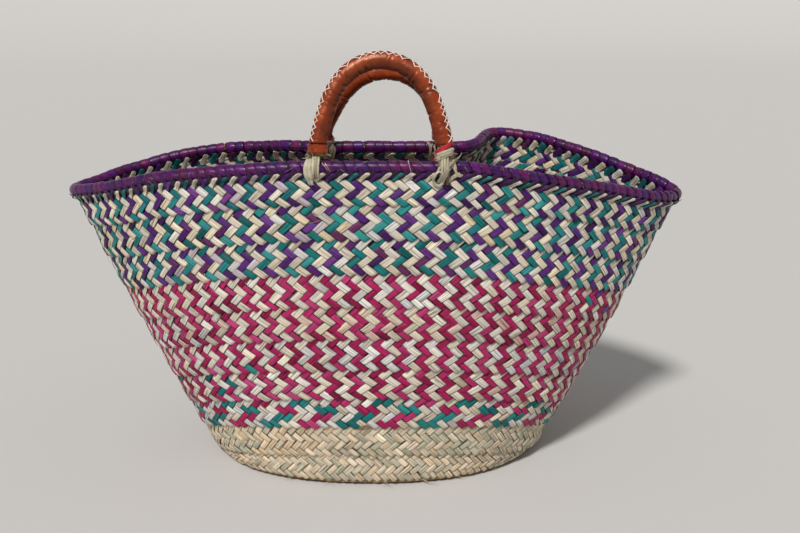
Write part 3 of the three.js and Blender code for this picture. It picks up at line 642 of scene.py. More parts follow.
def leaf_tone(kind, r1, r2, mixv):
    """Colour of a strand at each point: kind picks the dye, r1 and r2 its own shade, mixv 0..1 runs along it."""
    shape = np.broadcast(kind, r1, r2, mixv).shape
    out = np.zeros(shape + (3,))
    tone = np.broadcast_to(r1, shape)
    warm = np.broadcast_to(r2, shape)
    mv = np.broadcast_to(mixv, shape)
    kind = np.broadcast_to(kind, shape)
    for k, base in ((0, NAT_TOP), (1, NAT_MID), (2, NAT_LOW), (3, TEAL), (4, PURPLE), (5, MAGENTA)):
        sel = kind == k
        if not sel.any():
            continue
        t, w, v = tone[sel], warm[sel], mv[sel]
        if k <= 2:
            c = base[None] * np.exp(0.13 * t - 0.02 + 0.10 * (v - 0.5))[:, None]
            c = c * np.stack([1 + 0.045 * w, 1 + 0.0 * w, 1 - (0.06 if k == 2 else 0.09) * w], -1)
            if k == 0:      # a few strands took a little of the purple dye
                stain = np.clip((-w - 1.5) * 1.2, 0, 0.55)[:, None]
                c = c * (1 - stain) + srgb(150, 104, 128)[None] * stain
            if k == 1:      # dye has bled into some of the natural strands
                bleed = np.clip((w - 1.0) * 0.8 + (v - 0.6) * 0.5, 0, 0.45)[:, None]
                c = c * (1 - bleed) + srgb(206, 140, 160)[None] * bleed
            if k == 2:
                green = np.clip(-w * 0.5, 0, 0.6)[:, None]
                c = c * (1 - green) + srgb(168, 172, 140)[None] * green
        else:
            f = np.clip(0.5 + 0.22 * t + 0.35 * (v - 0.5), 0, 1)[:, None]
            c = np.where(f < 0.5, DEEP[k] + (base - DEEP[k]) * (f * 2), base + (LIGHT[k] - base) * ((f - 0.5) * 1.0))
            if k == 4:      # some of the purple is nearer plum
                plum = np.clip(w - 0.7, 0, 0.8)[:, None]
                c = c * (1 - plum) + srgb(108, 48, 88)[None] * plum * (0.7 + 0.6 * f)
            c = c * np.stack([1 + 0.06 * w, np.ones_like(w), 1 + 0.05 * w], -1)
        out[sel] = np.clip(c, 0.002, 0.95)
    return out


# =====================================================================
# The braid: eight strands in each turn, folding over at both edges
# =====================================================================
HALF_T = 0.00042             # half a strand's thickness
AMP = 0.00104                # how far a float stands off the strip's middle
ARCHED = 0.00032             # how far each float arches over what it crosses
CROWN = 0.00034              # how far a strand's middle stands over its edges
SHINGLE = 0.00030            # each strand's lower edge laps over the next strand
NAT0, NAT1, NAT2, T_, P_, M_ = 0, 1, 2, 3, 4, 5
FOUR = [T_, NAT0, P_, NAT0]
TWO = [M_, NAT1]
PAIRS = [T_, T_, NAT1, NAT1, M_, M_, NAT1, NAT1]
PLAIN = [NAT2]


def braid(name, N, place, kinds, seed, replaces, phase=0.0, run=0.0067, top=False, jitter=1.0, odd=(), flat=False):
    """One turn of braid with N columns. place(u_columns, level 0..8, lift, v_off) gives points; kinds is the dye of each fold."""
    r = np.random.default_rng(seed)
    f = np.arange(N)
    nxt = (f + 8) % N
    kf = np.asarray(kinds)[f % len(kinds)]
    natural = kf <= 2
    if len(kinds) == 2:
        w_nat, w_dye, delta = 1.09, 0.91, 0.065
    elif len(kinds) == 4:
        w_nat, w_dye, delta = 1.04, 0.96, 0.026
    else:
        w_nat, w_dye, delta = 1.0, 1.0, 0.0
    dl = np.where(natural, delta, -delta)[:, None] + r.normal(0, 0.022, (N, 6)) * jitter
    T = np.array([1.5, 3.5, 5.5, 10.5, 12.5, 14.5])[None, :] + dl * np.array([-1, -1, -1, 1, 1, 1])[None, :]
    cols = []

    def fixed(*v):
        for a in v:
            cols.append(np.full(N, float(a)))

    def around(i):
        for o in (-0.40, -0.11, 0.11, 0.40):
            cols.append(T[:, i] + o)

    fixed(0, 0.22, 0.45, 0.85)
    around(0)
    fixed(2.5)
    around(1)
    fixed(4.5)
    around(2)
    fixed(6.45, 7.1, 7.55, 7.8, 8, 8.2, 8.45, 8.9, 9.55)
    around(3)
    fixed(11.5)
    around(4)
    fixed(13.5)
    around(5)
    fixed(15.35, 15.6, 15.8)
    sig = np.stack(cols, 1)                                  # (N, K)
    K = sig.shape[1]
    row = sig.mean(0)
    q = smooth(sig / 16)

    def along(a):
        """A value for each strand that runs on smoothly into the next hop."""
        return a[:, None] * (1 - q) + a[nxt][:, None] * q

    def per_float(scale, dist="normal"):
        """A value for each float, held along it and blended between floats."""
        a = r.normal(0, scale, (N, 9)) if dist == "normal" else r.random((N, 9)) * scale
        a[:, 4] = (a[:, 3] + a[:, 5]) / 2
        b = np.concatenate([a[:, 8:][(f - 8) % N], a, a[nxt, :1]], 1)
        edge = np.array([0.0, 1.5, 3.5, 5.5, 7.6, 8.4, 10.5, 12.5, 14.5, 16.0])
        out = b[:, :1] * np.ones((1, K))
        for i, e in enumerate(edge):
            w = smooth((row - e) / 0.5 + 0.5)[None, :]
            out = out * (1 - w) + b[:, i + 1:i + 2] * w
        return out

    base_w = np.where(natural, w_nat, w_dye)
    width = along(base_w) * np.clip(1.005 + along(r.normal(0, 0.03, N)) * jitter + per_float(0.026) * jitter, 0.92, 1.08)
    side = (along(r.normal(0, 0.024, N)) + per_float(0.018)) * jitter
    tilt = per_float(0.00018) * jitter
    lift = per_float(0.00011) * jitter
    wobble = per_float(0.045) * jitter
    gpos = r.uniform(-0.26, 0.26, N)
    gro = along(gpos)
    groove = np.clip(per_float(0.00062, "even") - 0.00014, 0, 0.00045) * along(np.where(r.random(N) < 0.72, 1.0, 0.25))
    step = per_float(0.00010)
    d_bot = np.minimum(sig, 16 - sig)
    d_top = np.abs(sig - 8)
    near_b, near_t = smooth(1 - d_bot / 1.0), smooth(1 - d_top / 1.0)
    square = smooth(d_bot / 0.8)
    width = width * ((1 - 0.13 * near_b) if flat else (0.97 + 0.03 * square))
    width = width * ((1 - 0.10 * near_t) if top else (1 - 0.04 * smooth(1 - d_top / 1.2)))
    if top:
        lev = np.where(sig < 8, sig, 16 - sig)
        width = width * (1 - 0.36 * smooth((lev - 5.3) / 1.1))
    e = np.full_like(gro, 1.0)
    xs = np.stack([-0.5 * e, -0.405 * e, gro - 0.045, gro, gro + 0.045, 0.405 * e, 0.5 * e], -1)
    h = HALF_T
    zs = np.stack([0.35 * h * e, 0.9 * h + step / 2, h + step / 2, h - groove, h - step / 2, 0.9 * h - step / 2, 0.35 * h * e], -1)
    x01 = np.concatenate([xs, xs[..., ::-1]], -1)
    z = np.concatenate([zs, -zs[..., ::-1]], -1)
    x = x01 * width[..., None]
    G = smooth((np.minimum(d_bot, d_top) - 0.15) / 1.1)[..., None]
    s3 = sig[..., None]
    phi = s3 - x * G
    c = s3 + x * (1 - G)
    up = s3 < 8
    W = 0.27
    t3 = T[:, None, None, :]
    ramp_ = [smooth((c - t3[..., i]) / W + 0.5) for i in range(6)]
    over = np.where(up, -1 + 2 * (ramp_[0] - ramp_[1] + ramp_[2]), -1 + 2 * (ramp_[3] - ramp_[4] + ramp_[5]))
    bump = np.zeros_like(c)
    spans = [(-1.0, T[:, 0], -1), (T[:, 0], T[:, 1], 1), (T[:, 1], T[:, 2], -1), (T[:, 2], 8.6, 1),
             (7.4, T[:, 3], -1), (T[:, 3], T[:, 4], 1), (T[:, 4], T[:, 5], -1), (T[:, 5], 17.0, 1)]
    for lo, hi, sg in spans:
        lo = np.broadcast_to(lo, (N,))[:, None, None]
        hi = np.broadcast_to(hi, (N,))[:, None, None]
        mid, half = (lo + hi) / 2, (hi - lo) / 2
        inside = (c >= lo) & (c < hi) & ((hi < 8.7) == up)
        bump = np.where(inside, sg * (1 - ((c - mid) / half) ** 2), bump)
    R = 0.27
    fold = np.minimum(d_bot, d_top)
    g = np.sin(np.pi / 2 * np.clip(fold / R, 0, 1))[..., None]
    sgn = np.where(up, 1.0, -1.0)
    soft = 1.0
    if top:
        lev3 = np.where(up, phi, 16 - phi)
        soft = 1 - 0.45 * smooth((lev3 - 6) / 1.0)
    d = AMP * over * soft + ARCHED * bump * soft + lift[..., None]
    d = d + CROWN * (1 - (2 * x01) ** 2) * np.sign(over)
    d = d * g + (SHINGLE * sgn + tilt[..., None]) * x01 * g
    lev = np.where(up, phi, 16 - phi)
    db, dt_ = d_bot[..., None], d_top[..., None]
    lev = np.where(db < R, R * (1 - np.cos(np.pi / 2 * db / R)), lev)
    lev = np.where(dt_ < R, 8 - R * (1 - np.cos(np.pi / 2 * dt_ / R)), lev)
    sag = 1.3 * x01 ** 2
    saw = 0.0 if flat else 0.9
    lev = lev + wobble[..., None] + ((0.5 if flat else 0.12) * sag + saw * x01) * smooth(1 - db / 1.6) - (0.5 if top else 0.4) * sag * smooth(1 - dt_ / 0.9)
    slant = -0.5 * saw * x * smooth(1 - db / 1.6)
    if not top:
        lev = lev - 0.2 * saw * x01 * smooth(1 - dt_ / 1.6)
        slant = slant - 0.1 * saw * x * smooth(1 - dt_ / 1.6)
    if not flat:        # the last float runs on past its crossing before it folds under
        past = np.clip(1 - db / 1.5, 0, 1)
        lev = lev - 0.5 * past
        slant = slant + 0.25 * past
    ang = np.where(up[..., 0], 1.0, -1.0) * np.pi / 2
    ang = np.where(d_top < R, np.pi / 2 * np.clip(-(sig - 8) / R, -1, 1), ang)
    ang = np.where(d_bot < R, np.pi / 2 * np.clip(np.where(sig < 8, sig, sig - 16) / R, -1, 1), ang)
    d = d + z * np.sin(ang)[..., None]
    v_off = z * np.cos(ang)[..., None]
    u = f[:, None, None] + phase + phi / 2 + side[..., None] + x + slant
    if top:
        shift = np.where(sig < 8, smooth((sig - 5.4) / 2.4), 1 - smooth((sig - 8) / 2.5))
        u = u - 0.35 * (shift * (sig > 5.4) * (sig < 10.5))[..., None]
    V = place(u, lev, d, v_off)
    n = 14
    idx = np.arange(N)[:, None] * K + np.arange(K)[None, :]
    nx = np.where(np.arange(K)[None, :] < K - 1, idx + 1, (nxt * K)[:, None])
    j = np.arange(n)
    j2 = (j + 1) % n
    a, b = idx[..., None] * n, nx[..., None] * n
    Q = np.stack([a + j, b + j, b + j2, a + j2], -1).reshape(-1, 4)
    # bake map: one island for each hop
    ncol = max(1, round(math.sqrt(N / 7.3)))
    nrow = math.ceil(N / ncol)
    cw, rh = 1.0 / ncol, 1.0 / nrow
    ox, oy = (f % ncol) * cw, (f // ncol) * rh
    gx = np.r_[row, 16.0] / 16.0 * cw * 0.965 + cw * 0.012
    gap = np.array([0.08, 0.2, 0.1, 0.1, 0.25, 0.08, 0.06, 0.08, 0.2, 0.1, 0.1, 0.25, 0.08, 0.06])
    per = np.r_[0, np.cumsum(gap)] / gap.sum() * rh * 0.90 + rh * 0.04
    ua = ox[:, None, None] + gx[:-1][None, :, None] + 0 * j
    ub = ox[:, None, None] + gx[1:][None, :, None] + 0 * j
    va = oy[:, None, None] + per[:-1][None, None, :] + 0 * ua
    vb = oy[:, None, None] + per[1:][None, None, :] + 0 * ua
    uv = np.stack([np.stack([ua, va], -1), np.stack([ub, va], -1), np.stack([ub, vb], -1), np.stack([ua, vb], -1)], -2).reshape(-1, 4, 2)
    kind = np.broadcast_to(kf[:, None], (N, K)).copy()
    tone_add = np.zeros((N, K))
    for (s_at, level, new, add_t) in odd:
        best = None
        for fc, half in ((2.5, 1.0), (6.6, 1.3), (11.5, 1.0), (15.3, 0.9)):
            lv = fc if fc < 8 else 16 - fc
            uc = (f + phase + fc / 2) / N
            du = (uc - s_at + 0.5) % 1.0 - 0.5
            dist2 = (du * N) ** 2 + ((lv - level) * 0.45) ** 2
            i = int(np.argmin(dist2))
            if best is None or dist2[i] < best[0]:
                best = (dist2[i], i, fc, half)
        _, i, fc, half = best
        sel = np.abs(row - fc) < half + 0.35
        if new is not None:
            kind[i, sel] = new
        tone_add[i, sel] += add_t
    mixv = np.clip(0.5 + along(r.normal(0, 0.22, N)) + per_float(0.16), 0, 1)
    tone = along(r.normal(0, 0.8, N)) + per_float(0.55) + tone_add
    col = leaf_tone(kind, tone, along(r.normal(0, 1, N)), mixv)
    col = col[:, :, None, :] * np.ones((1, 1, n, 1))
    # painted shade: darker along the groove, at the edges and where a float dives under its neighbour
    dark = np.ones((N, K, n))
    gd = (groove / 0.00045 * 0.72)
    dark[:, :, 3] -= gd
    dark[:, :, 10] -= gd
    for jj in (0, 6, 7, 13):
        dark[:, :, jj] *= 0.1
    dark = dark * (1 - 0.8 * (1 - np.abs(over)))
    col = col * dark[..., None]
    rgba = np.concatenate([col, np.ones(col.shape[:-1] + (1,))], -1)
    runv = np.stack([
        np.broadcast_to(((f // 8)[:, None, None] * 16 + s3) * run, (N, K, n)), x01,
        np.broadcast_to((f % 8)[:, None, None] + seed * 0.37, (N, K, n))], -1)
    ob = build(name, V.reshape(-1, 3), [Q], LEAF, uv=[uv], attrs={"leaf_col": rgba, "leaf_run": runv}, sharp=52)
    return settle(ob, "basket", replaces)


LEVEL_T = pchip([-0.5, 1.5, 3.5, 5.5, 8], [-0.02, 0.24, 0.488, 0.736, 1.125])
LEVEL_T1 = pchip([-0.5, 1.5, 3.5, 5.5, 8], [0.17, 0.43, 0.66, 0.865, 1.12])
LEVEL_B3 = pchip([0, 1.5, 3.5, 5.5, 8], [0.0, 0.28, 0.58, 0.88, 1.2])
LEVEL_B = pchip([0, 1.5, 3.5, 5.5, 8], [-0.03, 0.22, 0.48, 0.74, 1.04])
LEVEL_T10 = pchip([-0.5, 1.5, 3.5, 5.5], [-0.035, 0.17, 0.40, 0.64])
OFFSET = pchip([-0.5, 1.5, 3.5, 5.5, 8], [1.4, 1.6, 1.1, 0.25, -1.35])
OFFSET_T10 = pchip([-0.5, 1.5, 3.5, 5.5], [1.5, 1.75, 1.2, 0.6])
OFFSET_FLAT = pchip([0, 4, 8], [0.9, 0.2, -0.9])
FLOOR_Z = 0.00015


def keep_up(P):
    """Leaf can't reach below the floor: what would is pressed flat against it."""
    z = P[..., 2]
    low = FLOOR_Z + 0.0012
    P[..., 2] = np.where(z < low, FLOOR_Z + (low - FLOOR_Z) * np.exp(np.clip((z - low) / (low - FLOOR_Z), -30, 0)), z)
    return P


def wall_place(k, N, levels, offset):
    """Puts a turn's strip on the basket: its lower edge proud, its upper edge tucked in behind the next turn."""

    def place(u, level, d, v_off):
        P, ds, dt, n = frames(u / N, k + levels(level))
        return keep_up(P + n * (d + offset(level) / 1000)[..., None] + dt * v_off[..., None])

    return place


def top_curve(q, width):
    """Middle line of the top turn's upper part, out and up from the rim's middle line, with its tangent. q is 0 at level 5.5 and 1 at the fold."""
    P0 = np.stack([0.0006 + 0 * width, -0.36 * width], -1)
    P1 = np.array([0.0006, -0.0084])
    P2 = np.array([0.0043, -0.0072])
    P3 = np.array([0.0063, -0.0041])
    q = q[..., None]
    C = (1 - q) ** 3 * P0 + 3 * (1 - q) ** 2 * q * P1 + 3 * (1 - q) * q**2 * P2 + q**3 * P3
    D = 3 * (1 - q) ** 2 * (P1 - P0) + 6 * (1 - q) * q * (P2 - P1) + 3 * q**2 * (P3 - P2)
    return C, unit(D)


def top_width(s):
    return np.linalg.norm(surf(s, 10.0) - surf(s, 9.0), axis=-1)


def top_place(N):
    def place(u, level, d, v_off):
        s = u / N
        P, ds, dt, n = frames(s, 9 + np.minimum(LEVEL_T10(np.minimum(level, 6.6)), 0.9))
        W = P + n * (d + OFFSET_T10(np.minimum(level, 6.6)) / 1000)[..., None] + dt * v_off[..., None]
        P10, _, up, nr = rim_frames(s)
        C, D = top_curve(np.clip((level - 5.5) / 2.5, -0.2, 1.04), top_width(s))
        Nx, Ny = D[..., 1], -D[..., 0]
        a = C[..., 0] + Nx * d + D[..., 0] * v_off
        b = C[..., 1] + Ny * d + D[..., 1] * v_off
        R = P10 + nr * a[..., None] + up * b[..., None]
        w = smooth((level - 5.0) / 1.4)[..., None]
        return W * (1 - w) + R * w

    return place


WALL = {1: (110, 0.3, PLAIN), 2: (108, 0.0, PLAIN), 3: (104, 7.23, PAIRS), 4: (102, 0.43, TWO), 5: (116, 0.15, TWO), 6: (118, 0.7, TWO),
        7: (130, 1.05, TWO), 8: (128, 1.12, FOUR), 9: (128, 3.45, FOUR), 10: (144, 3.0, FOUR)}
T_LEVEL = pchip([-0.02, 0.24, 0.488, 0.736, 1.125], [-0.5, 1.5, 3.5, 5.5, 8])


def odd(t_list):
    out = {}
    for s, t, kind, add in t_list:
        k = int(math.floor(t - 0.02)) + 1
        out.setdefault(k, []).append((s, float(T_LEVEL(t - (k - 1))), kind, add))
    return out


ODD = odd([(0.143, 4.15, T_, 0), (0.124, 3.62, T_, 0), (0.102, 3.38, T_, 0), (0.095, 3.93, T_, 0), (0.050, 3.83, T_, 0),
           (0.427, 6.58, T_, 0), (0.438, 6.93, P_, 0), (0.454, 6.43, P_, 0), (0.285, 6.1, NAT1, 1.2), (0.277, 6.1, NAT1, 1.0),
           (0.268, 9.58, NAT0, 1.0), (0.262, 9.58, NAT0, 0.8), (0.274, 9.58, NAT0, 1.1)])

for k in range(1, 11):
    N, phase, kinds = WALL[k]
    if k == 10:
        place = top_place(N)
    else:
        place = wall_place(k - 1, N, LEVEL_T1 if k == 1 else LEVEL_T, OFFSET)
    braid(f"braid_turn_{k:02d}", N, place, kinds, 100 + k, (f"wall_turn_{k:02d}",), phase=phase, top=(k == 10), jitter=1.5, odd=ODD.get(k, ()))

# Base: three flat turns, and the folded start strip in the middle
for k in range(1, 4):
    N = int(round(turn_length(k - 3.5) / 0.0092 / 4)) * 4
    place = wall_place(k - 4, N, LEVEL_B3 if k == 3 else LEVEL_B, OFFSET_FLAT)
    braid(f"braid_base_{k}", N, place, PLAIN, 200 + k, (f"base_turn_{k}",), run=0.006, flat=True)

def start_strip():
    """The braid's first length, folded flat in the middle of the base."""
    parts = Parts()
    r = np.random.default_rng(77)
    half_l, half_w, pitch, L = 0.0535, 0.0122, 0.0085, 0.036
    for fam in (1, -1):
        for i in range(-9, 10):
            q = np.linspace(-0.5, 0.5, 61)
            x = i * pitch + q * L
            y = fam * q * L * 0.92
            inside = (np.abs(y) <= half_w) & ((np.abs(x) / half_l) ** 2.5 + (np.abs(y) / (half_w * 1.02)) ** 2.5 < 1)
            if inside.sum() < 16:
                continue
            wave = np.clip(3.0 * fam * np.sin((x + fam * y) / pitch * np.pi * 0.5 + (0 if fam > 0 else 0)), -1, 1)
            z = 0.0022 + 0.0007 * wave * fam
            pts = np.stack([x, y, z], 1)[inside]
            pts = resample(pts, 26) + SHIFT / 1000 + np.array([-0.0015, 0, 0])
            strip(parts, r, pts, np.tile([0, 0, 1.0], (26, 1)), 0.0060, 0.0008, NAT_LOW, n=26, curl=0.02, tips=(0.06, 0.06))
    return parts.make("braid_start", LEAF, "basket", "palm_leaf_natural", ("base_start_strip",))


start_strip()

# =====================================================================
# Seam twines, and the corded edge round the base
# =====================================================================
for k in range(-2, 11):
    n = 560
    s = np.arange(n) / n
    base = k <= 0
    t = (k - 1) + (0.085 if k > 1 else 0.0)
    P, ds, dt, nn = frames(s, np.full(n, float(t)))
    if base:
        C = P.copy()
        C[:, 2] = 0.0038
    elif k == 1:
        C = P - nn * 0.00275
        C[:, 2] = np.maximum(C[:, 2], 0.0042)
    else:
        zig = np.where(np.arange(n) % 10 < 5, 1.0, -1.0)
        zig = (np.roll(zig, 1) + zig + np.roll(zig, -1)) / 3
        C = P - nn * 0.0012 + dt * (zig * 0.0007)[:, None]
    parts = Parts()
    for section in two_ply(C, 0.00062, 0.011, 5, closed=True):
        parts.add(section, closed=True)
    if k > 1:       # a narrow leaf laid in the seam, so that no light comes through it
        rows = []
        for up_t, off in ((-0.006, 0.00045), (0.035, 0.0003), (0.078, 0.0), (0.118, -0.00045)):
            Pq, _, _, nq = frames(s, np.full(n, k - 1 + up_t))
            rows.append((Pq, nq, off))
        loop = [Pq + nq * (off + 0.00015) for Pq, nq, off in rows] + [Pq + nq * (off - 0.00015) for Pq, nq, off in rows[::-1]]
        parts.add(np.stack(loop, 1), closed=True)
    if base:
        parts.make(f"base_twine_{k + 3}", TWINE, "basket", "palm_twine", (f"base_seam_twine_{k + 3}",))
    else:
        parts.make(f"wall_twine_{k:02d}", TWINE, "basket", "palm_twine", (f"wall_seam_twine_{k:02d}",))

n = 1500
s = np.arange(n) / n
P, ds, dt, nn = frames(s, np.full(n, 0.125))
C = P + nn * 0.0009
C[:, 2] = np.maximum(C[:, 2], 0.0021)
parts = Parts()
for section in two_ply(C, 0.00085, 0.0085, 7, closed=True):
    parts.add(section, closed=True)
parts.make("base_edge_cord", EDGE_CORD, "basket", "palm_twine")

# =====================================================================
# Rim: rib bundle, wrapped leaf, fingers and stitches
# =====================================================================
n = 420
s = np.arange(n) / n
P, ds, up, nn = rim_frames(s)
parts = Parts()
for i in range(7):
    a = i * np.pi / 3 + s * 2 * np.pi * 4
    rad = 0.0 if i == 6 else 0.00318
    C = P + nn * (rad * np.cos(a))[:, None] + up * (rad * np.sin(a))[:, None]
    rr = 0.00158 * (1 + 0.05 * np.sin(2 * np.pi * s * (11 + i)))
    parts.add(tube(C, rr, 8, closed=True), closed=True)
parts.make("rim_ribs", RIB, "basket", "palm_rib", ("rim_core_rib_bundle",))

WRAPS, PER = 144, 22
RIM_R = 0.0053


def rim_wrap():
    """Purple leaf wound round the rim, one lap for each column of the braid."""
    r = np.random.default_rng(311)
    m = WRAPS * PER
    w = np.arange(m) / PER
    i0 = np.floor(w).astype(int) % WRAPS
    i1 = (i0 + 1) % WRAPS
    fr = smooth(w - np.floor(w))

    def vary(a):
        return a[i0] * (1 - fr) + a[i1] * fr

    shift = vary(r.normal(0, 0.07, WRAPS))
    wid = vary(np.clip(r.normal(1.12, 0.05, WRAPS), 1.0, 1.26))
    lap = vary(np.clip(r.normal(0.00058, 0.00018, WRAPS), 0.0002, 0.00095))
    crown = vary(np.clip(r.normal(0.00042, 0.00014, WRAPS), 0.00015, 0.0008))
    th = -2 * np.pi * w + np.pi * 0.5
    xs = np.array([-0.5, -0.46, -0.34, -0.24, -0.1, 0.04, 0.16, 0.3, 0.46, 0.5])
    zz = np.array([0.3, 0.95, 1.25, 0.9, 1.1, 1.3, 0.95, 1.2, 0.95, 0.3])
    xi = np.array([0.5, 0.2, -0.2, -0.5])
    zi = np.array([-0.3, -1, -1, -0.3])
    X = np.r_[xs, xi]
    Z = np.r_[zz, zi]
    rid = vary(r.normal(0, 1, WRAPS))[:, None] * np.sin(X * 17)[None] * 0.10
    sw = (w + shift - 0.1 * np.cos(2 * np.pi * w))[:, None] + wid[:, None] * X[None]
    s_ = (sw / WRAPS) % 1.0
    P, ds, up, nn = rim_frames(s_)
    half = 0.00030
    rad = RIM_R + 1.15 * crown[:, None] * (1 - (2 * X[None]) ** 2) - 1.2 * lap[:, None] * X[None] + half * (Z[None] * (1 + 0 * rid) + rid)
    # the coil is pulled a little flat where it meets the wall
    T2 = th[:, None] * np.ones_like(X)[None]
    rad = rad * (1 - 0.03 * smooth(-np.sin(T2) - 0.6))
    V = P + nn * (np.cos(T2) * rad)[..., None] + up * (np.sin(T2) * rad)[..., None]
    hue = vary(r.normal(0, 1, WRAPS))
    val = vary(r.normal(0, 0.16, WRAPS))
    a, b = srgb(62, 7, 92), srgb(98, 16, 78)
    f = np.clip(0.42 + 0.33 * hue, 0, 1)[:, None]
    c = (a * (1 - f) + b * f) * np.exp(val)[:, None]
    # painted shade: darker at each lap's edges, where it dips under its neighbours, and on its hidden inner face; a
    # slight painted highlight near its middle
    dark = np.array([0.15, 0.35, 0.95, 0.8, 1, 1.15, 0.95, 0.9, 0.4, 0.15, 0.3, 0.3, 0.3, 0.3])
    col = c[:, None, :] * dark[None, :, None]
    rgba = np.concatenate([col, np.ones((m, 14, 1))], -1)
    runv = np.stack([np.broadcast_to((w * 0.042)[:, None], (m, 14)), np.broadcast_to(X[None] * 1.5, (m, 14)), np.full((m, 14), 3.0)], -1)
    parts = Parts()
    parts.add(V, closed=True, leaf_col=rgba, leaf_run=runv)
    return parts.make("rim_wrapping", RIM_LEAF, "basket", "rim_leaf_purple", ("rim_leaf_wrapping",), sharp=60)


rim_wrap()


def rim_fingers():
    """Purple leaf sewn down between the top turn's fingers, and the fingers' other side inside the rim."""
    r = np.random.default_rng(317)
    N, phase, kinds = WALL[10]
    purple, inner = Parts(), Parts()
    q = np.linspace(0, 1, 12)
    for f in range(N):
        # outside, between two fingers: from under the coil down to the wall
        u0 = f + phase + 3.0 + 0.5
        lev = 5.75 + q * 2.6
        u = u0 + (lev - 6.0) / 2 - 0.35 * smooth((lev - 5.4) / 2.4) + 0.02 * r.normal()
        s_ = u / N
        P10, ds, up, nr = rim_frames(s_)
        C, D = top_curve(np.clip((lev - 5.5) / 2.5, 0, 1.12), top_width(s_))
        lift = 0.00015 + r.normal(0, 0.0001)
        off = C[:, 0] + D[:, 1] * lift
        hgt = C[:, 1] - D[:, 0] * lift
        pts = P10 + nr * off[:, None] + up * hgt[:, None]
        nrm = nr * D[:, 1:2] - up * D[:, 0:1]
        hue = np.clip(0.35 + 0.3 * r.normal(), 0, 1)
        c = (srgb(48, 14, 70) * (1 - hue) + srgb(74, 22, 60) * hue) * 0.8
        strip(purple, r, pts, nrm, 0.0060 + 0.0006 * r.normal(), 0.0006, c, n=14, curl=0.05, tips=(0.10, 0.02), shade=0.2)
        # inside: the same fold seen from the other face
        lev = q * 2.5
        u = f + phase + 4.32 + lev * 0.36 + 0.03 * r.normal()
        s_ = u / N
        P10, ds, up, nr = rim_frames(s_)
        t = q
        off = -(0.0016 * t**3 + 3 * t**2 * (1 - t) * 0.0022 + 3 * t * (1 - t) ** 2 * 0.0051 + (1 - t) ** 3 * 0.0070)
        hgt = -(0.0150 * t**3 + 3 * t**2 * (1 - t) * 0.0112 + 3 * t * (1 - t) ** 2 * 0.0082 + (1 - t) ** 3 * 0.0036)
        pts = P10 + nr * off[:, None] + up * hgt[:, None]
        tx, ty = np.gradient(off), np.gradient(hgt)
        L = np.hypot(tx, ty)
        nrm = -(nr * (-ty / L)[:, None] + up * (tx / L)[:, None])
        nrm = np.where((nrm * nr).sum(1, keepdims=True) > 0, -nrm, nrm)
        kd = np.array(kinds[f % 4])
        c = leaf_tone(kd, r.normal(0, 0.9), r.normal(), 0.5 + 0.2 * r.normal())
        strip(inner, r, pts, nrm, 0.0058 + 0.0005 * r.normal(), 0.0008, c, n=14, curl=0.05, tips=(0.05, 0.12), shade=0.1)
    purple.make("rim_leaf_stitches", RIM_LEAF, "basket", "rim_leaf_purple")
    inner.make("rim_inner_fingers", LEAF, "basket", "palm_leaf_teal_purple")


rim_fingers()

# =====================================================================
# Handles
# =====================================================================
def to_world(side):
    c, s_ = (math.cos(FRONT_LEAN), math.sin(FRONT_LEAN)) if side == "front" else (math.cos(REAR_LEAN), math.sin(REAR_LEAN))

    def f(P):
        x, y, z = P[..., 0], P[..., 1], P[..., 2]
        if side == "front":
            q = np.stack([x, y * c + z * s_, -y * s_ + z * c], -1)
        else:
            x, y = -x, -y
            q = np.stack([x, y * c - z * s_, y * s_ + z * c], -1)
        return (q + PIVOT[side]) / 1000

    return f


def arch(side, n, u0=0.0, u1=1.0):
    """Middle line of a handle, in its own plane, with its tangent, outward and sideways directions, in millimetres."""
    full = ARCH[side]
    C = catmull(np.stack([full[:, 0], 0 * full[:, 0], full[:, 1]], 1), 40, closed=False)
    s_ = np.r_[0, np.cumsum(np.linalg.norm(np.diff(C, axis=0), axis=1))]
    at = np.linspace(u0, u1, n) * s_[-1]
    P = np.stack([np.interp(at, s_, C[:, c]) for c in range(3)], 1)
    e = 0.4
    T = unit(np.stack([np.interp(at + e, s_, C[:, c]) - np.interp(at - e, s_, C[:, c]) for c in range(3)], 1))
    out = np.stack([-T[:, 2], 0 * T[:, 0], T[:, 0]], 1)
    return P, T, out, np.tile([0, 1.0, 0], (n, 1)), at, s_[-1]


SEAM = math.radians(-43)
ARCH_LEN = {side: arch(side, 5)[5] for side in ARCH}
U_COLLAR, U_RED = ({side: v / ARCH_LEN[side] for side in ARCH} for v in (8.6, 8.0))


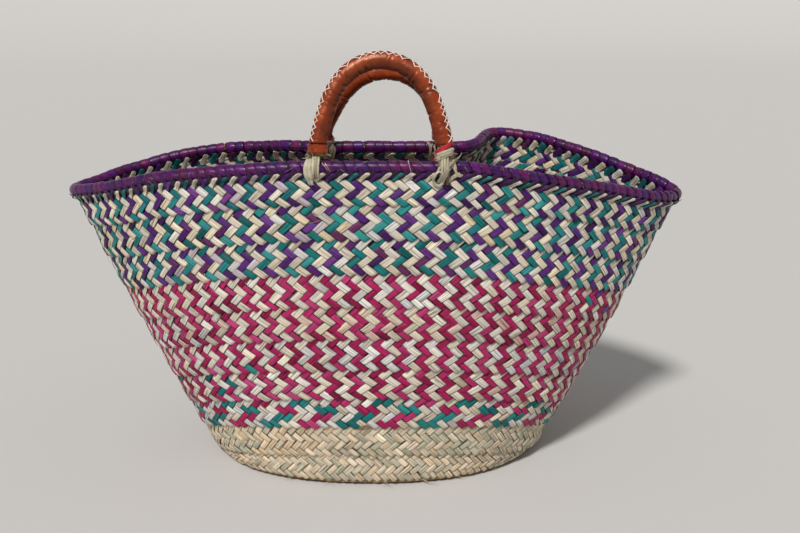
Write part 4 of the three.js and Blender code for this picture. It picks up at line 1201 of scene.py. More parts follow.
def leather(side, W):
    r = np.random.default_rng(41 if side == "front" else 43)
    n, sides = 330, 52
    P, T, out, sd, at, L = arch(side, n, U_COLLAR[side], 1 - U_RED[side])
    th = 2 * np.pi * np.arange(sides) / sides + SEAM
    TH, A = np.meshgrid(th, at)
    inner = smooth((1 - np.cos(TH)) / 2 * 1.25 - 0.06)             # 0 outside the bend .. 1 inside it
    bend = smooth((P[:, 2] - 30) / 34)[:, None]                    # creases are stronger round the top of the arch
    rr = 7.95 + 0 * TH
    # painted shade: this mask darkens the leather's colour in its creases, its seam groove and along its inner side
    crease = np.zeros_like(TH)
    pos, l = [], at[0] + 9.0
    while l < at[-1] - 6:
        pos.append(l)
        l += np.clip(r.normal(6.6, 2.9), 2.6, 13.0)
    for l in pos:
        depth = np.clip(r.normal(0.78, 0.48), 0.12, 1.7)
        wave = l + r.normal(0, 1.1) * np.sin(TH + r.uniform(0, 6.3)) + 0.8 * r.normal() * np.sin(2 * TH + r.uniform(0, 6.3))
        mid = (3.75 if side == "front" else 2.6) + r.normal(0, 0.3)                       # where round the section this crease is deepest
        face = np.exp(-(((TH - mid + np.pi) % (2 * np.pi) - np.pi) / r.uniform(0.55, 1.05)) ** 2)
        g = np.exp(-((A - wave) / r.uniform(0.75, 1.9)) ** 2) * depth * face * (0.3 + 0.7 * bend)
        rr -= 1.0 * g
        crease = np.maximum(crease, 0.8 * g)
    # the leather swells between creases
    rr += 0.30 * inner * (0.2 + 0.8 * bend)
    # one strong fold at the far leg, and a softer one above it
    for l, dp in ((L - 56, 0.9), (L - 60.5, 0.6)):
        g = np.exp(-((A - l - 1.6 * np.sin(TH + 2.2)) / 1.15) ** 2) * dp * smooth((1 - np.cos(TH - 2.6)) / 2 * 0 + 0.9)
        rr -= 0.75 * g
        crease = np.maximum(crease, g)
    # fine wrinkles
    for _ in range(60):
        l, a0 = r.uniform(at[0], at[-1]), r.uniform(0, 6.28)
        da = np.abs((TH - a0 + np.pi) % (2 * np.pi) - np.pi)
        g = np.exp(-((A - l - r.normal(0, 1.5) * (TH - a0)) / 0.5) ** 2 - (da / r.uniform(0.3, 0.8)) ** 2)
        rr -= 0.24 * g
        crease = np.maximum(crease, 0.45 * g)
    # uneven stuffing
    for _ in range(40):
        l, a0 = r.uniform(at[0], at[-1]), r.uniform(0, 6.28)
        da = np.abs((TH - a0 + np.pi) % (2 * np.pi) - np.pi)
        rr += r.normal(0, 0.17) * np.exp(-((A - l) / 5.5) ** 2 - (da / 0.8) ** 2)
    # the seam: two lips with a groove between, drawn in at each stitch
    d = ((TH - SEAM + np.pi) % (2 * np.pi) - np.pi) * 8.0
    pull = np.cos(2 * np.pi * (A - at[0] - 3) / (2 * (at[-1] - at[0] - 6) / 34))
    rr -= 0.55 * np.exp(-(d / 0.75) ** 2)
    rr += 0.26 * np.exp(-((np.abs(d) - 2.0) / 1.2) ** 2)
    rr -= 0.18 * np.exp(-((d - 2.7 * np.sign(pull)) / 0.9) ** 2) * np.abs(pull) ** 3
    crease = np.maximum(crease, 0.7 * np.exp(-(d / 0.6) ** 2))
    # painted shade along the inner side
    crease = np.maximum(crease, 0.72 * inner ** 1.5 * (0.6 + 0.4 * bend))
    # turned in at both ends
    end = np.minimum(A - at[0], at[-1] - A)
    rr -= 1.0 * np.exp(-(end / 0.8) ** 2)
    V = P[:, None] + rr[..., None] * (np.cos(TH)[..., None] * out[:, None] + np.sin(TH)[..., None] * sd[:, None])
    parts = Parts()
    parts.add(W(V), crease=crease[..., None])
    parts.make(side + "_leather", LEATHER, side + "_handle", "leather_tan", (side + "_handle_leather_sleeve",), sharp=70)


def zigzag(side, W):
    """White stitches over the seam: a thin zigzag that lies on the leather, crossed here and there by a second thread."""
    r = np.random.default_rng(51)
    N = 34
    parts = Parts()
    u0, u1 = U_COLLAR[side] + 2 / ARCH_LEN[side], 1 - U_RED[side] - 2 / ARCH_LEN[side]
    a = np.where(np.arange(N + 2) % 2 == 1, 1.0, -1.0) * 2.6 / 8.0 + r.normal(0, 0.02, N + 2)
    along = r.normal(0, 0.16, N + 2)
    Q, _, o, d, _, _ = arch(side, 4001, 0.0, 1.0)

    def at(u, ang, rad):
        x = np.clip(u, 0, 1) * 4000
        i = np.clip(x.astype(int), 0, 3999)
        f = (x - i)[:, None]
        C = Q[i] * (1 - f) + Q[i + 1] * f
        E = o[i] * (1 - f) + o[i + 1] * f
        return C + rad[:, None] * (np.cos(ang)[:, None] * E + np.sin(ang)[:, None] * d[i])

    q = np.linspace(-0.02, 1.02, 13)
    dip = np.minimum(smooth((q + 0.02) / 0.12), smooth((1.02 - q) / 0.12))
    for i in range(N):
        ang = SEAM + a[i] * (1 - q) + a[i + 1] * q
        u = u0 + (i + q) / N * (u1 - u0) + (along[i] * (1 - q) + along[i + 1] * q) / ARCH_LEN[side]
        parts.add(W_tube(W, at(u, ang, 7.75 + 0.80 * dip), 0.47 * (1 + 0.05 * r.normal()), 8))
        if r.random() < 0.7:        # the second thread crosses this stitch
            ang2 = SEAM - a[i] * (1 - q) * 0.9 - a[i + 1] * q * 0.9
            parts.add(W_tube(W, at(u, ang2, 7.75 + 1.0 * dip), 0.36, 7))
    parts.make(side + "_stitches", WHITE, side + "_handle", "thread_white", (side + "_handle_seam_thread",))


def W_tube(W, pts, radius, sides):
    return tube(W(pts), radius / 1000, sides)


def collar(side, W):
    """A strap of leather wound once and a third round the left foot."""
    r = np.random.default_rng(61)
    n = 120
    q = np.linspace(0, 1, n)
    th = 2 * np.pi * (-0.42 + 1.36 * q)
    P0 = np.array([-FOOT[side], 0, 11.6])
    lift = 4.3 + 0.9 * (q - 0.5) + 0.25 * np.sin(th * 1.0 + 0.6)
    rad = 8.15 + 0.55 * smooth((q - 0.62) / 0.3) + 0.12 * np.sin(3 * th)
    xs = np.array([-0.5, -0.47, -0.38, -0.2, 0, 0.2, 0.38, 0.47, 0.5, 0.5, 0.3, 0, -0.3, -0.5])
    zs = np.array([-0.1, 0.42, 0.62, 0.56, 0.5, 0.56, 0.64, 0.44, -0.1, -0.35, -0.5, -0.5, -0.5, -0.35])
    width = 7.4
    V = np.zeros((n, 14, 3))
    for j in range(14):
        R = rad + zs[j] * 0.95 + (0.25 * (2 * xs[j]) ** 2 if zs[j] > 0 else 0) + 0.05 * np.sin(9 * th + j)
        V[:, j] = P0 + np.stack([-R * np.cos(th), R * np.sin(th), lift + xs[j] * width + 0.12 * np.sin(2 * th + 1)], 1)
    parts = Parts()
    # painted shade: the strap is darker at its edges and on its underside, and in a few narrow bands round it
    cr = np.array([0.5, 0.25, 0.0, 0.05, 0.1, 0.05, 0, 0.25, 0.5, 0.6, 0.6, 0.6, 0.6, 0.6])
    parts.add(W(V), crease=np.broadcast_to(cr[None, :, None], (n, 14, 1)) + 0.15 * (np.sin(7 * th) > 0.93)[:, None, None])
    parts.make(side + "_collar", LEATHER, side + "_handle", "leather_tan", (side + "_handle_end_collar",), sharp=60)


def whipping(side, W):
    """Red thread wound aslant round the right foot."""
    r = np.random.default_rng(71)
    turns, per = 5, 30
    n = turns * per
    q = np.arange(n) / per
    th = 2 * np.pi * q
    P0 = np.array([FOOT[side], 0, 11.6])
    rad = 7.75 + 0.12 * np.sin(q * 5.1) + 0.05 * r.normal(0, 1, n).cumsum() / 8
    z = 3.2 + q * 0.80 + 0.58 * rad * np.cos(th)
    C = P0 + np.stack([rad * np.cos(th), rad * np.sin(th), np.clip(z, 0.2, 11.0)], 1)
    parts = Parts()
    for k in (0, 1):
        a = q * 2 * np.pi * 9 + k * np.pi
        N = unit(np.stack([np.cos(th), np.sin(th), 0 * th], 1))
        C2 = C + 0.26 * (np.cos(a)[:, None] * N + np.sin(a)[:, None] * np.array([0, 0, 1.0]))
        parts.add(tube(W(C2), 0.00040, 7))
    # a loose end
    e = np.array([[P0[0] - 6.5, -4.2, 13.0], [P0[0] - 7.6, -5.2, 10.5], [P0[0] - 8.6, -5.8, 7.5], [P0[0] - 8.2, -6.6, 5.2]])
    parts.add(tube(W(smooth_path(e, 16)), 0.00038, 7))
    parts.make(side + "_whipping", RED, side + "_handle", "thread_red", (side + "_handle_end_thread_whipping",))


def rope(side, W):
    """Three-ply palm rope inside the leather, its strands opening into an eye round the rim at each foot."""
    r = np.random.default_rng(81 if side == "front" else 82)
    parts = Parts()
    P, T, out, sd, at, L = arch(side, 240, 0.0, 1.0)
    for k in range(3):
        a = at / L * 2 * np.pi * 8 + k * 2 * np.pi / 3
        C = P + 3.05 * (np.cos(a)[:, None] * out + np.sin(a)[:, None] * sd)
        V = tube(W(C), 0.0029 * (1 + 0.03 * np.sin(at * 0.9 + k)), 10)
        parts.add(V)
    for sx in (-1, 1):
        for k, x0 in enumerate((-2.4, -0.6, 1.2) if sx < 0 else (-2.1, 0.1, 2.2)):
            n = 56
            q = np.linspace(0, 1, n)
            # down from the leg, round the rim and up again
            th = np.pi / 2 + (q - 0.5) * 0 - 2 * np.pi * q
            R = 8.65 + 0.12 * np.sin(3 * th + k)
            y, z = R * np.cos(th), R * np.sin(th)
            e0, e1 = smooth(1 - q / 0.13), smooth(1 - (1 - q) / 0.13)
            z = z + 6.0 * (e0 + e1) + 0.6
            z = np.where((e0 + e1) > 0, z, z - 0.6 * (1 - 0))
            y = y * (1 - 0.3 * (e0 + e1)) + (-1.4 * e1 + 1.4 * e0)
            x = sx * FOOT[side] + x0 * (1 - 0.25 * (e0 + e1)) + 0.4 * np.sin(2 * th + k * 2)
            C = np.stack([x, y, z], 1)
            for m in (0, 1):
                a = q * 2 * np.pi * 5 + m * np.pi + k
                off = 0.42 * np.stack([np.cos(a), np.sin(a) * np.cos(th), np.sin(a) * np.sin(th)], 1)
                parts.add(tube(W(C + off), 0.00074 * (1 + 0.05 * r.normal()), 7))
    parts.make(side + "_rope", ROPE, side + "_handle", "handle_rope", (side + "_handle_rope_core",))


for side in ("front", "rear"):
    W = to_world(side)
    leather(side, W)
    zigzag(side, W)
    collar(side, W)
    whipping(side, W)
    rope(side, W)

# =====================================================================
# Palm-leaf ties and loose strands at the handles' feet
# =====================================================================
RIM_LINE = np.stack([surf(np.linspace(0, 0.5, 2400), 10.0), surf(np.linspace(1.0, 0.5, 2400), 10.0)])


def rim_s(x, front=True):
    """Where the rim passes x (metres), on its front or rear run."""
    line = RIM_LINE[0 if front else 1]
    s_ = np.linspace(0, 0.5, 2400) if front else np.linspace(1.0, 0.5, 2400)
    return np.interp(x, line[:, 0], s_)


def outline(h):
    """How far the rim and wall stand out at height h (mm) from the rim's middle line."""
    a = np.sqrt(np.maximum(6.9**2 - np.clip(h, -4, 6.9) ** 2, 0))
    b = np.interp(-h, [4, 6, 8, 10, 13, 40], [7.2, 7.0, 6.2, 4.4, 3.1, 3.0])
    return np.where(h > -4, a, b)


def in_picture(P):
    """Where a point (metres) falls in the picture frame, from the camera's place and tilt."""
    dx, dy, dz = (P * 1000 - np.array([24.471, -996.435, 450.0])).T
    c, s_ = math.cos(math.radians(14.5)), math.sin(math.radians(14.5))
    fwd = dy * c - dz * s_
    return 400 + 1000 * dx / fwd, 266.5 - 1000 * (dy * s_ + dz * c) / fwd


def front_px(px, py, lift):
    """A point on the front of the rim or wall from its place in the picture frame, standing off by lift (mm): position and face normal."""
    x, h = 24.5 + (px - 400) / 1.155, (165.5 - py) / 1.12
    for _ in range(10):
        o = float(outline(np.array(h)))
        P, ds, up, nn = (v[0] for v in rim_frames(np.array([rim_s(x / 1000)])))
        pos = P + nn * (o + lift) / 1000 + up * h / 1000
        qx, qy = in_picture(pos)
        x += (px - qx) / 1.155
        h += 0.7 * (qy - py) / 1.12
    if h > -5:
        nr = unit(nn * max(o, 0.1) + up * h)
    else:
        nr = unit(nn * 1.0 - up * 0.15)
    return pos, nr


def front_strip(parts, r, pts, width, thick, colour, lift, pre=(), post=(), **kw):
    """A leaf along picture points on the front; pre and post are (offset, height, x mm shift) points in the rim's section."""
    P, N = [], []

    def section(item, px):
        o, h, dx = item
        x = 24.5 + (px - 400) / 1.155 + dx
        s_ = rim_s(x / 1000)
        Q, ds, up, nn = (v[0] for v in rim_frames(np.array([s_])))
        P.append(Q + nn * o / 1000 + up * h / 1000)
        N.append(unit(nn * o + up * (h + (4 if h < -8 else 0))))

    for item in pre:
        section(item, pts[0][0])
    for i, (px, py) in enumerate(pts):
        lf = lift[i] if np.ndim(lift) else lift
        p, nr = front_px(px, py, lf)
        P.append(p)
        N.append(nr)
    for item in post:
        section(item, pts[-1][0])
    strip(parts, r, np.array(P), np.array(N), width / 1000, thick / 1000, colour, **kw)


STRAW = srgb(196, 186, 156)
PALE = srgb(212, 204, 180)
GREY = srgb(150, 138, 116)
BROWN = srgb(128, 112, 86)
BACK = ((-4.3, -11.2, 0), (-7.6, -5.8, 0), (-8.3, 0.5, 0), (-6.0, 5.9, 0))      # up the inside of the rim
UNDER = ((3.0, -14.6, 0), (0.5, -14.8, 0), (-2.5, -13.4, 0))                      # through the wall


def front_left_tie():
    parts = Parts()
    r = np.random.default_rng(91)
    data = [
        ([(307.4, 160.0), (305.4, 165.5), (304.8, 171.3), (306.2, 177), (309.0, 182.2), (310.6, 184.6)], 2.9, 0.9, 1.0),
        ([(309.8, 159.4), (308.4, 165.5), (308.0, 171.3), (308.9, 177), (310.4, 181.6), (311.4, 184.6)], 3.0, 1.0, 1.5),
        ([(312.4, 159.8), (311.5, 165.5), (311.0, 171.3), (311.1, 176.6), (311.6, 181.4), (312.1, 184.2)], 2.6, 0.9, 1.1),
        ([(311.0, 159.2), (309.6, 165.5), (309.4, 171.3), (310.2, 176.6), (311.2, 181.0), (311.9, 184.4)], 2.4, 0.7, 2.1),
    ]
    for pts, w, th, lift in data:
        front_strip(parts, r, pts, w, th, PALE, lift, pre=UNDER[::-1] + BACK, post=UNDER, n=46, curl=0.08, tips=(0.03, 0.03), shade=0.08)
    return parts.make("front_left_tie", TIE_LEAF, "basket", "leaf_tie", ("front_left_palm_leaf_tie",))


def front_right_tie():
    parts = Parts()
    r = np.random.default_rng(92)
    c1 = [
        # (points, width, thickness, lift, colour)
        ([(456.2, 158.6), (452.6, 164), (448.2, 170), (443.6, 176), (439.6, 181.4), (437.2, 184)], 3.3, 1.0, [1.4, 2.2, 2.6, 2.6, 2.0, 1.0], PALE),
        ([(440.4, 159.6), (441.8, 163.6), (444.0, 168), (446.2, 172), (447.6, 175)], 2.8, 0.9, [0.8, 1.0, 1.0, 1.0, 0.6], STRAW),
        ([(444.8, 160.5), (441.6, 166), (437.6, 172.6), (434.2, 177.6), (433.4, 181.6), (436.0, 185.4), (440.2, 185.8), (443.0, 181.6), (444.2, 177.4)], 2.4, 0.8, [1.0, 1.3, 1.6, 2.0, 2.2, 2.2, 2.0, 1.6, 1.0], PALE),
        ([(453.4, 166.5), (456.0, 171.6), (459.4, 176.2), (463.2, 175.0)], 2.2, 0.8, [1.0, 1.5, 2.0, 2.4], STRAW),
        ([(441.2, 164.4), (437.8, 171.6), (433.2, 179.2)], 2.0, 0.7, [1.0, 1.2, 0.8], STRAW),
        ([(458.4, 157.0), (454.8, 161.6), (451.0, 166.4), (447.8, 170.6)], 2.2, 0.9, [2.2, 2.4, 2.8, 2.2], BROWN),
        ([(449.4, 159.8), (450.2, 165.0), (448.2, 171.4), (445.2, 177.6), (442.4, 182.0)], 2.2, 0.9, [0.8, 1.2, 1.6, 1.4, 0.8], STRAW),
        ([(438.6, 160.2), (439.6, 165.4), (441.0, 171.0), (440.6, 177.0), (439.4, 182.6)], 1.8, 0.8, [0.6, 0.8, 0.8, 0.8, 0.6], BROWN),
        ([(453.0, 159.6), (454.6, 164.0), (455.6, 168.4), (455.0, 172.6)], 2.0, 0.7, [0.8, 1.0, 1.0, 0.6], STRAW),
        ([(451.5, 163.5), (455.5, 160.5), (460.0, 156.0), (462.0, 152.5)], 1.5, 0.6, [1.6, 2.6, 3.4, 4.0], STRAW),
        ([(446.5, 176.5), (442.8, 173.5), (439.4, 172.0), (436.0, 174.0)], 1.6, 0.6, [2.6, 3.2, 3.2, 2.6], PALE),
    ]
    for pts, w, th, lift, c in c1:
        front_strip(parts, r, pts, w, th, c, lift, n=34, curl=0.08, tips=(0.08, 0.10), shade=0.12)
    # two full loops over the rim behind them
    for px, w in ((450.6, 2.6), (446.8, 2.2)):
        pts = [(px, 160.0), (px - 0.8, 166), (px - 1.6, 172), (px - 2.6, 178), (px - 3.2, 182)]
        front_strip(parts, r, pts, w, 0.9, BROWN, 0.5, pre=UNDER[::-1] + BACK, post=UNDER, n=46, curl=0.08, tips=(0.03, 0.03), shade=0.1)
    front_strip(parts, r, [(445.0, 160.4), (446.0, 165.4), (446.2, 170.4)], 4.6, 0.6, srgb(168, 84, 122), 0.5, n=16, curl=0.06, tips=(0.1, 0.1))
    return parts.make("front_right_tie", TIE_LEAF, "basket", "leaf_tie", ("front_right_palm_leaf_tie",))


def rear_tie(which):
    """Loops over the rear rim; the left one has a knot on top."""
    parts = Parts()
    left = which == "left"
    r = np.random.default_rng(93 if left else 94)
    x0 = 6.271 + (-1 if left else 1) * 67.5
    colour = GREY if left else STRAW * 0.9
    ring = [(3.0, -14.6), (6.0, -10.0), (7.6, -4.8), (7.9, 0.5), (5.8, 5.7), (0, 7.9), (-5.8, 5.7), (-7.9, 0.5), (-7.7, -5.2), (-5.6, -10.6), (-2.6, -14.2)]
    for dx, lift, w in ((-2.6, 0.2, 3.0), (0.2, 0.8, 3.4), (2.7, 0.3, 3.0), (-1.0, 1.5, 2.2)):
        P, N = [], []
        for o, h in ring:
            L = math.hypot(o, h)
            x = x0 + dx * (1.0 if h > -6 else 0.55) + r.normal(0, 0.15)
            s_ = rim_s(x / 1000, False)
            Q, ds, up, nn = (v[0] for v in rim_frames(np.array([s_])))
            k = (L + lift) / L
            P.append(Q + nn * o * k / 1000 + up * h * k / 1000)
            N.append(unit(nn * o + up * h))
        strip(parts, r, np.array(P), np.array(N), w / 1000, 0.0009, colour, n=46, curl=0.08, tips=(0.04, 0.04), shade=0.12)
    x1 = -47.2 if left else 59.0           # the loose ends come up on the handle's inner side
    s_ = rim_s(x1 / 1000, False)
    Q, ds, up, nn = (v[0] for v in rim_frames(np.array([s_])))
    if left:
        # two loops beside the foot, and an overhand knot of the leaf's ends on top of them
        for dx in (-1.6, 1.0):
            P, N = [], []
            for o, h in ring:
                P.append(Q + nn * o / 1000 + up * h / 1000 - ds * (dx * (1.0 if h > -6 else 0.4)) / 1000)
                N.append(unit(nn * o + up * h))
            strip(parts, r, np.array(P), np.array(N), 0.0024, 0.0009, colour, n=46, curl=0.08, tips=(0.04, 0.04), shade=0.12)
        n = 60
        a = np.linspace(0, 2 * np.pi * 1.25, n)
        C = np.stack([2.4 * np.cos(a) + 0.9 * np.cos(2 * a), 1.7 * np.sin(a) - 0.8 * np.sin(2 * a), 9.2 + 1.0 * np.sin(3 * a / 1.25)], 1)
        Wd = Q + (C[:, 0:1] * ds - C[:, 1:2] * nn + C[:, 2:3] * up) / 1000
        strip(parts, r, Wd[::6], np.tile(up, (10, 1)) + 0.5 * unit(Wd[::6] - Q), 0.0026, 0.0012, srgb(176, 138, 120), n=60, curl=0.05, tips=(0.05, 0.05), shade=0.05)
        ends = (((0, 1.5, 8.8), (2.0, 0.5, 10.6), (3.8, -1.5, 10.8), (5.2, -3.0, 9.0)), ((0, -1.0, 9.0), (-1.6, -2.5, 11.2), (-2.8, -4.5, 11.6), (-3.4, -6.5, 10.0)),
                ((3.0, -4.8, 6.5), (4.2, -7.0, 2.0), (4.6, -8.2, -4.0), (4.0, -8.6, -11.0)), ((-2.5, -5.6, 5.0), (-3.6, -7.8, 0.5), (-2.2, -8.4, -6.5), (-0.5, -7.6, -12.0)),
                ((0.6, -5.4, 5.5), (0.2, -7.6, 0.5), (1.4, -8.4, -5.5), (2.2, -7.8, -12.5)))
    else:
        ends = (((1.5, -4.9, 6.5), (2.4, -7.4, 2.0), (2.6, -8.2, -5.0), (2.0, -7.6, -11.0)), ((-1.5, -5.4, 6.0), (-2.6, -7.8, 1.5), (-3.0, -8.4, -4.0), (-3.8, -7.8, -8.5)),
                ((6.0, -1.0, 7.6), (4.0, -4.6, 7.0), (2.4, -7.2, 2.6), (1.4, -8.0, -3.0)))
    for e in ends:
        C = np.array(e, float)
        Wd = Q + (C[:, 0:1] * ds + C[:, 1:2] * nn + C[:, 2:3] * up) / 1000
        strip(parts, r, Wd, unit(Wd - Q), 0.0022, 0.0007, colour * 1.1, n=20, curl=0.05, tips=(0.05, 0.3), shade=0.12)
    return parts.make(f"rear_{which}_tie", TIE_LEAF, "basket", "leaf_tie", (f"rear_{which}_palm_leaf_tie",))


front_left_tie()
front_right_tie()
rear_tie("left")
rear_tie("right")


def foot_strands(side, W):
    """Pale strands wound round the foot under the whipping, loops round the rim, and frayed ends under the collar."""
    parts = Parts()
    r = np.random.default_rng(101 if side == "front" else 102)
    # right foot: two fat turns and one thinner
    for i, (z0, rad, w) in enumerate(((10.6, 7.6, 2.8), (13.0, 7.9, 2.6), (8.6, 7.0, 2.2))):
        n = 30
        a = np.linspace(-2.9 + i, -2.9 + i + 2 * np.pi * 1.08, n)
        C = np.stack([FOOT[side] + rad * np.cos(a), rad * np.sin(a), z0 + 3.0 * np.cos(a) + 0.5 * np.linspace(0, 1, n)], 1)
        N = np.stack([np.cos(a), np.sin(a), 0 * a], 1)
        Nw = W(C + N * 0.1) - W(C)
        strip(parts, r, W(C), unit(Nw), w / 1000, 0.0013, PALE, n=64, curl=0.12, tips=(0.03, 0.04), shade=0.06)
    for x0, z0, w in ((-2.2, 0.9, 2.6), (0.6, 1.2, 2.8), (2.6, 0.8, 2.2)):
        for sx in (-1, 1):
            n = 22
            a = np.linspace(0, 2 * np.pi, n)
            th = np.pi / 2 - a
            R = 9.5 + z0 * 0.35
            e = np.minimum(smooth(1 - a / 0.9) + smooth(1 - (2 * np.pi - a) / 0.9), 1)
            y = R * np.cos(th) * (1 - 0.25 * e)
            z = R * np.sin(th) + 3.4 * e
            x = sx * FOOT[side] - (1.5 if sx < 0 else 0.0) + x0 * (1 - 0.3 * e) + 0.3 * np.sin(a * 2 + x0)
            C = np.stack([x, y, z], 1)
            N = np.stack([0 * a, np.cos(th), np.sin(th)], 1)
            Nw = W(C + N * 0.1) - W(C)
            strip(parts, r, W(C), unit(Nw), w / 1000 * 0.72, 0.0007, PALE * (1.0 if sx < 0 else 0.9), n=60, curl=0.1, tips=(0.02, 0.02), shade=0.08)
    # frayed ends
    for sx, count in ((-1, 26), (1, 14)):
        for _ in range(count):
            a = r.uniform(0, 2 * np.pi)
            z0 = r.uniform(9.0, 12.5)
            base = np.array([sx * FOOT[side] + 5.6 * math.cos(a), 5.6 * math.sin(a), z0])
            d = np.array([math.cos(a), math.sin(a), 0]) * r.uniform(0.5, 1.0) + np.array([0, 0, -1]) * r.uniform(-0.2, 0.6) + r.normal(0, 0.25, 3)
            d = d / np.linalg.norm(d)
            Ln = r.uniform(3.5, 8.0)
            side_ = r.normal(0, 0.5, 3)
            C = np.array([base - d * 2, base + d * Ln * 0.3, base + d * Ln * 0.65 + side_ * 0.6, base + d * Ln + side_ * 1.8])
            C[:, 2] = np.maximum(C[:, 2], 8.3)
            N = np.tile(np.array([0.0, -0.5, 0.8]), (4, 1))
            Nw = W(C + N * 0.1) - W(C)
            strip(parts, r, W(C), unit(Nw), r.uniform(0.5, 1.5) / 1000, 0.0003, STRAW if r.random() < 0.6 else GREY, n=12, curl=0.1, tips=(0.02, 0.6), shade=0.2)
    parts.make(side + "_foot_strands", TIE_LEAF, side + "_handle", "handle_rope")


for side in ("front", "rear"):
    foot_strands(side, to_world(side))


def stray_fibres():
    """Fine loose fibres and leaf ends standing off the wall, rim and base edge."""
    parts = Parts()
    r = np.random.default_rng(121)

    def fibre(points, radius, colour, n=14):
        C = smooth_path(points, n)
        q = np.linspace(0, 1, n)
        V = tube(C, radius * (1 - 0.75 * q), 5)
        rgba = np.ones((n, 5, 4))
        rgba[..., :3] = colour
        runv = np.stack([np.broadcast_to((q * 0.02)[:, None], (n, 5)), np.zeros((n, 5)), np.full((n, 5), 1.0)], -1)
        parts.add(V, leaf_col=rgba, leaf_run=runv)

    for _ in range(64):
        s_, t = r.random(), r.uniform(0.15, 9.6)
        P, ds, dt, nn = (v[0] for v in frames(np.array([s_]), np.array([t])))
        L = r.uniform(0.004, 0.013)
        a = r.uniform(-np.pi, np.pi)
        d = ds * math.cos(a) + dt * math.sin(a)
        e = ds * r.normal(0, 0.3) + dt * r.normal(0, 0.3)
        p0 = P + nn * 0.0018
        pts = [p0, p0 + d * L * 0.3 + nn * 0.0012, p0 + (d + e) * L * 0.65 + nn * 0.0022, p0 + (d + 2 * e) * L + nn * r.uniform(0.0012, 0.004)]
        fibre(keep_up(np.array(pts)), r.uniform(0.00012, 0.00022), srgb(206, 196, 170) * r.uniform(0.7, 1.05))
    for s_, L, a in ((0.264, 0.010, -1.2), (0.308, 0.014, -0.5), (0.2, 0.007, -1.9), (0.35, 0.006, -0.9), (0.155, 0.008, -2.2), (0.395, 0.006, -1.0)):
        P, ds, dt, nn = (v[0] for v in frames(np.array([s_]), np.array([0.16])))
        for k in range(3):
            d = ds * math.cos(a + 0.5 * k) + nn * 0.9 + r.normal(0, 0.2, 3)
            p0 = P + nn * 0.002
            p0[2] = max(p0[2], 0.003)
            pts = np.array([p0, p0 + d * L * 0.35, p0 + d * L * 0.7 + np.array([0, 0, -0.0006]), p0 + d * L])
            pts[1:, 2] = np.clip(pts[1:, 2], 0.0008, 0.006)
            fibre(pts, 0.00022, srgb(198, 180, 146))
    # thin pale threads caught in the rim's wrapping
    for pts_px, lift in (([(322.0, 163.0), (325.5, 167.5), (328.0, 170.5), (330.2, 172.6)], 0.35), ([(408.2, 160.2), (409.4, 166.0), (411.2, 172.6), (412.4, 179.0)], 0.3),
                         ([(325.0, 162.8), (328.0, 168.0), (330.8, 173.2)], 0.4), ([(412.4, 178.6), (406.0, 181.0), (403.0, 182.6)], 1.0)):
        P = np.array([front_px(x, y, lift)[0] for x, y in pts_px])
        fibre(P, 0.00030, srgb(214, 208, 206), 18)
    for i in range(22):
        s_ = r.random()
        th0 = r.uniform(-0.3, 1.2)
        P, ds, up, nn = (v[0] for v in rim_frames(np.array([s_])))
        q = np.linspace(0, 1, 5)
        th = th0 - q * r.uniform(0.5, 1.4)
        x = (q - 0.5) * r.normal(0, 0.007)
        rad = 0.0067
        pts = P + ds * x[:, None] + nn * (rad * np.cos(th))[:, None] + up * (rad * np.sin(th))[:, None]
        fibre(pts, 0.00020, srgb(196, 170, 190) * r.uniform(0.6, 1.0))
    # a brownish leaf end and a small curl on the lower wall
    for pts_st, w, c in (([(0.235, 1.96, 2.2), (0.238, 2.00, 2.8), (0.2425, 2.06, 3.4), (0.2465, 2.10, 3.4), (0.2492, 2.12, 2.6)], 0.0034, srgb(150, 132, 96)),
                         ([(0.2705, 1.50, 2.2), (0.2725, 1.56, 4.0), (0.2748, 1.55, 5.0), (0.2745, 1.49, 4.6)], 0.0018, srgb(176, 160, 120))):
        s_ = np.array([p[0] for p in pts_st])
        P, ds, dt, nn = frames(s_, np.array([p[1] for p in pts_st]))
        pts = P + nn * (np.array([p[2] for p in pts_st]) / 1000)[:, None]
        strip(parts_leaf, r, pts, nn, w, 0.0006, c, n=22, curl=0.10, tips=(0.05, 0.25), shade=0.05)
    parts.make("stray_fibres", LEAF, "basket", "palm_leaf_natural")


parts_leaf = Parts()
stray_fibres()
parts_leaf.make("loose_leaf_ends", LEAF, "basket", "palm_leaf_natural")

# =====================================================================
# Camera, light, floor
# =====================================================================
cam_data = bpy.data.cameras.new("camera")
cam = bpy.data.objects.new("camera", cam_data)
scene.collection.objects.link(cam)
cam.location = (0.024471, -0.996435, 0.45)
cam.rotation_euler = (math.radians(75.5), 0, 0)
cam_data.lens, cam_data.sensor_width = 45.0, 36.0
cam_data.clip_start, cam_data.clip_end = 0.01, 200
scene.camera = cam

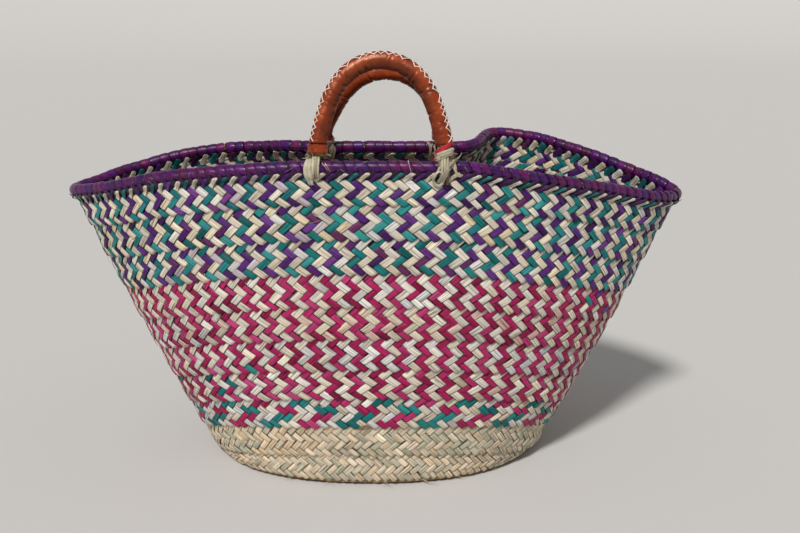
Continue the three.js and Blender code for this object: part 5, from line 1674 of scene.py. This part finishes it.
floor = bpy.data.meshes.new("floor")
fz = -0.0004
radii = np.r_[0.0, 2.0, 5.0, np.linspace(8, 26, 37)]
rise = np.where(radii > 8, 9.0 * (1 - np.cos(np.clip((radii - 8) / 18, 0, 1) * np.pi / 2)), 0.0)
spokes = 96
ang = 2 * np.pi * np.arange(spokes) / spokes
ring_v = [(0.0, 0.0, fz)] + [(R * math.cos(a), R * math.sin(a), fz + h) for R, h in zip(radii[1:], rise[1:]) for a in ang]
ring_f = [(0, 1 + j, 1 + (j + 1) % spokes) for j in range(spokes)]
for i in range(len(radii) - 2):
    b0, b1 = 1 + i * spokes, 1 + (i + 1) * spokes
    ring_f += [(b0 + j, b1 + j, b1 + (j + 1) % spokes, b0 + (j + 1) % spokes) for j in range(spokes)]
floor.from_pydata(ring_v, [], ring_f)
floor.polygons.foreach_set("use_smooth", np.ones(len(floor.polygons), bool))
floor_ob = bpy.data.objects.new("floor", floor)
scene.collection.objects.link(floor_ob)
fm, fnt, fsh = new_material("floor_pale")
fsh.inputs["Base Color"].default_value = (0.56, 0.55, 0.535, 1)
fsh.inputs["Roughness"].default_value = 0.9
fsh.inputs["Specular IOR Level"].default_value = 0.2
floor.materials.append(fm)

world = bpy.data.worlds.new("world")
scene.world = world
world.use_nodes = True
bg = world.node_tree.nodes.get("Background") or world.node_tree.nodes.new("ShaderNodeBackground")
bg.inputs[0].default_value = (0.86, 0.865, 0.875, 1)
bg.inputs[1].default_value = 0.19


def sun(name, direction, power, angle, colour=(1, 1, 1)):
    d = bpy.data.lights.new(name, "SUN")
    d.energy, d.angle, d.color = power, math.radians(angle), colour
    o = bpy.data.objects.new(name, d)
    scene.collection.objects.link(o)
    o.rotation_euler = Vector(direction).to_track_quat("-Z", "Y").to_euler()
    return o


sun("key", (0.24, 0.72, -0.88), 2.95, 8, (1.0, 0.98, 0.955))
sun("overhead", (-0.12, 0.10, -1.0), 0.42, 80, (0.98, 0.99, 1.0))

scene.view_settings.view_transform = "Standard"
scene.view_settings.look = "None"
scene.view_settings.exposure = 0.0
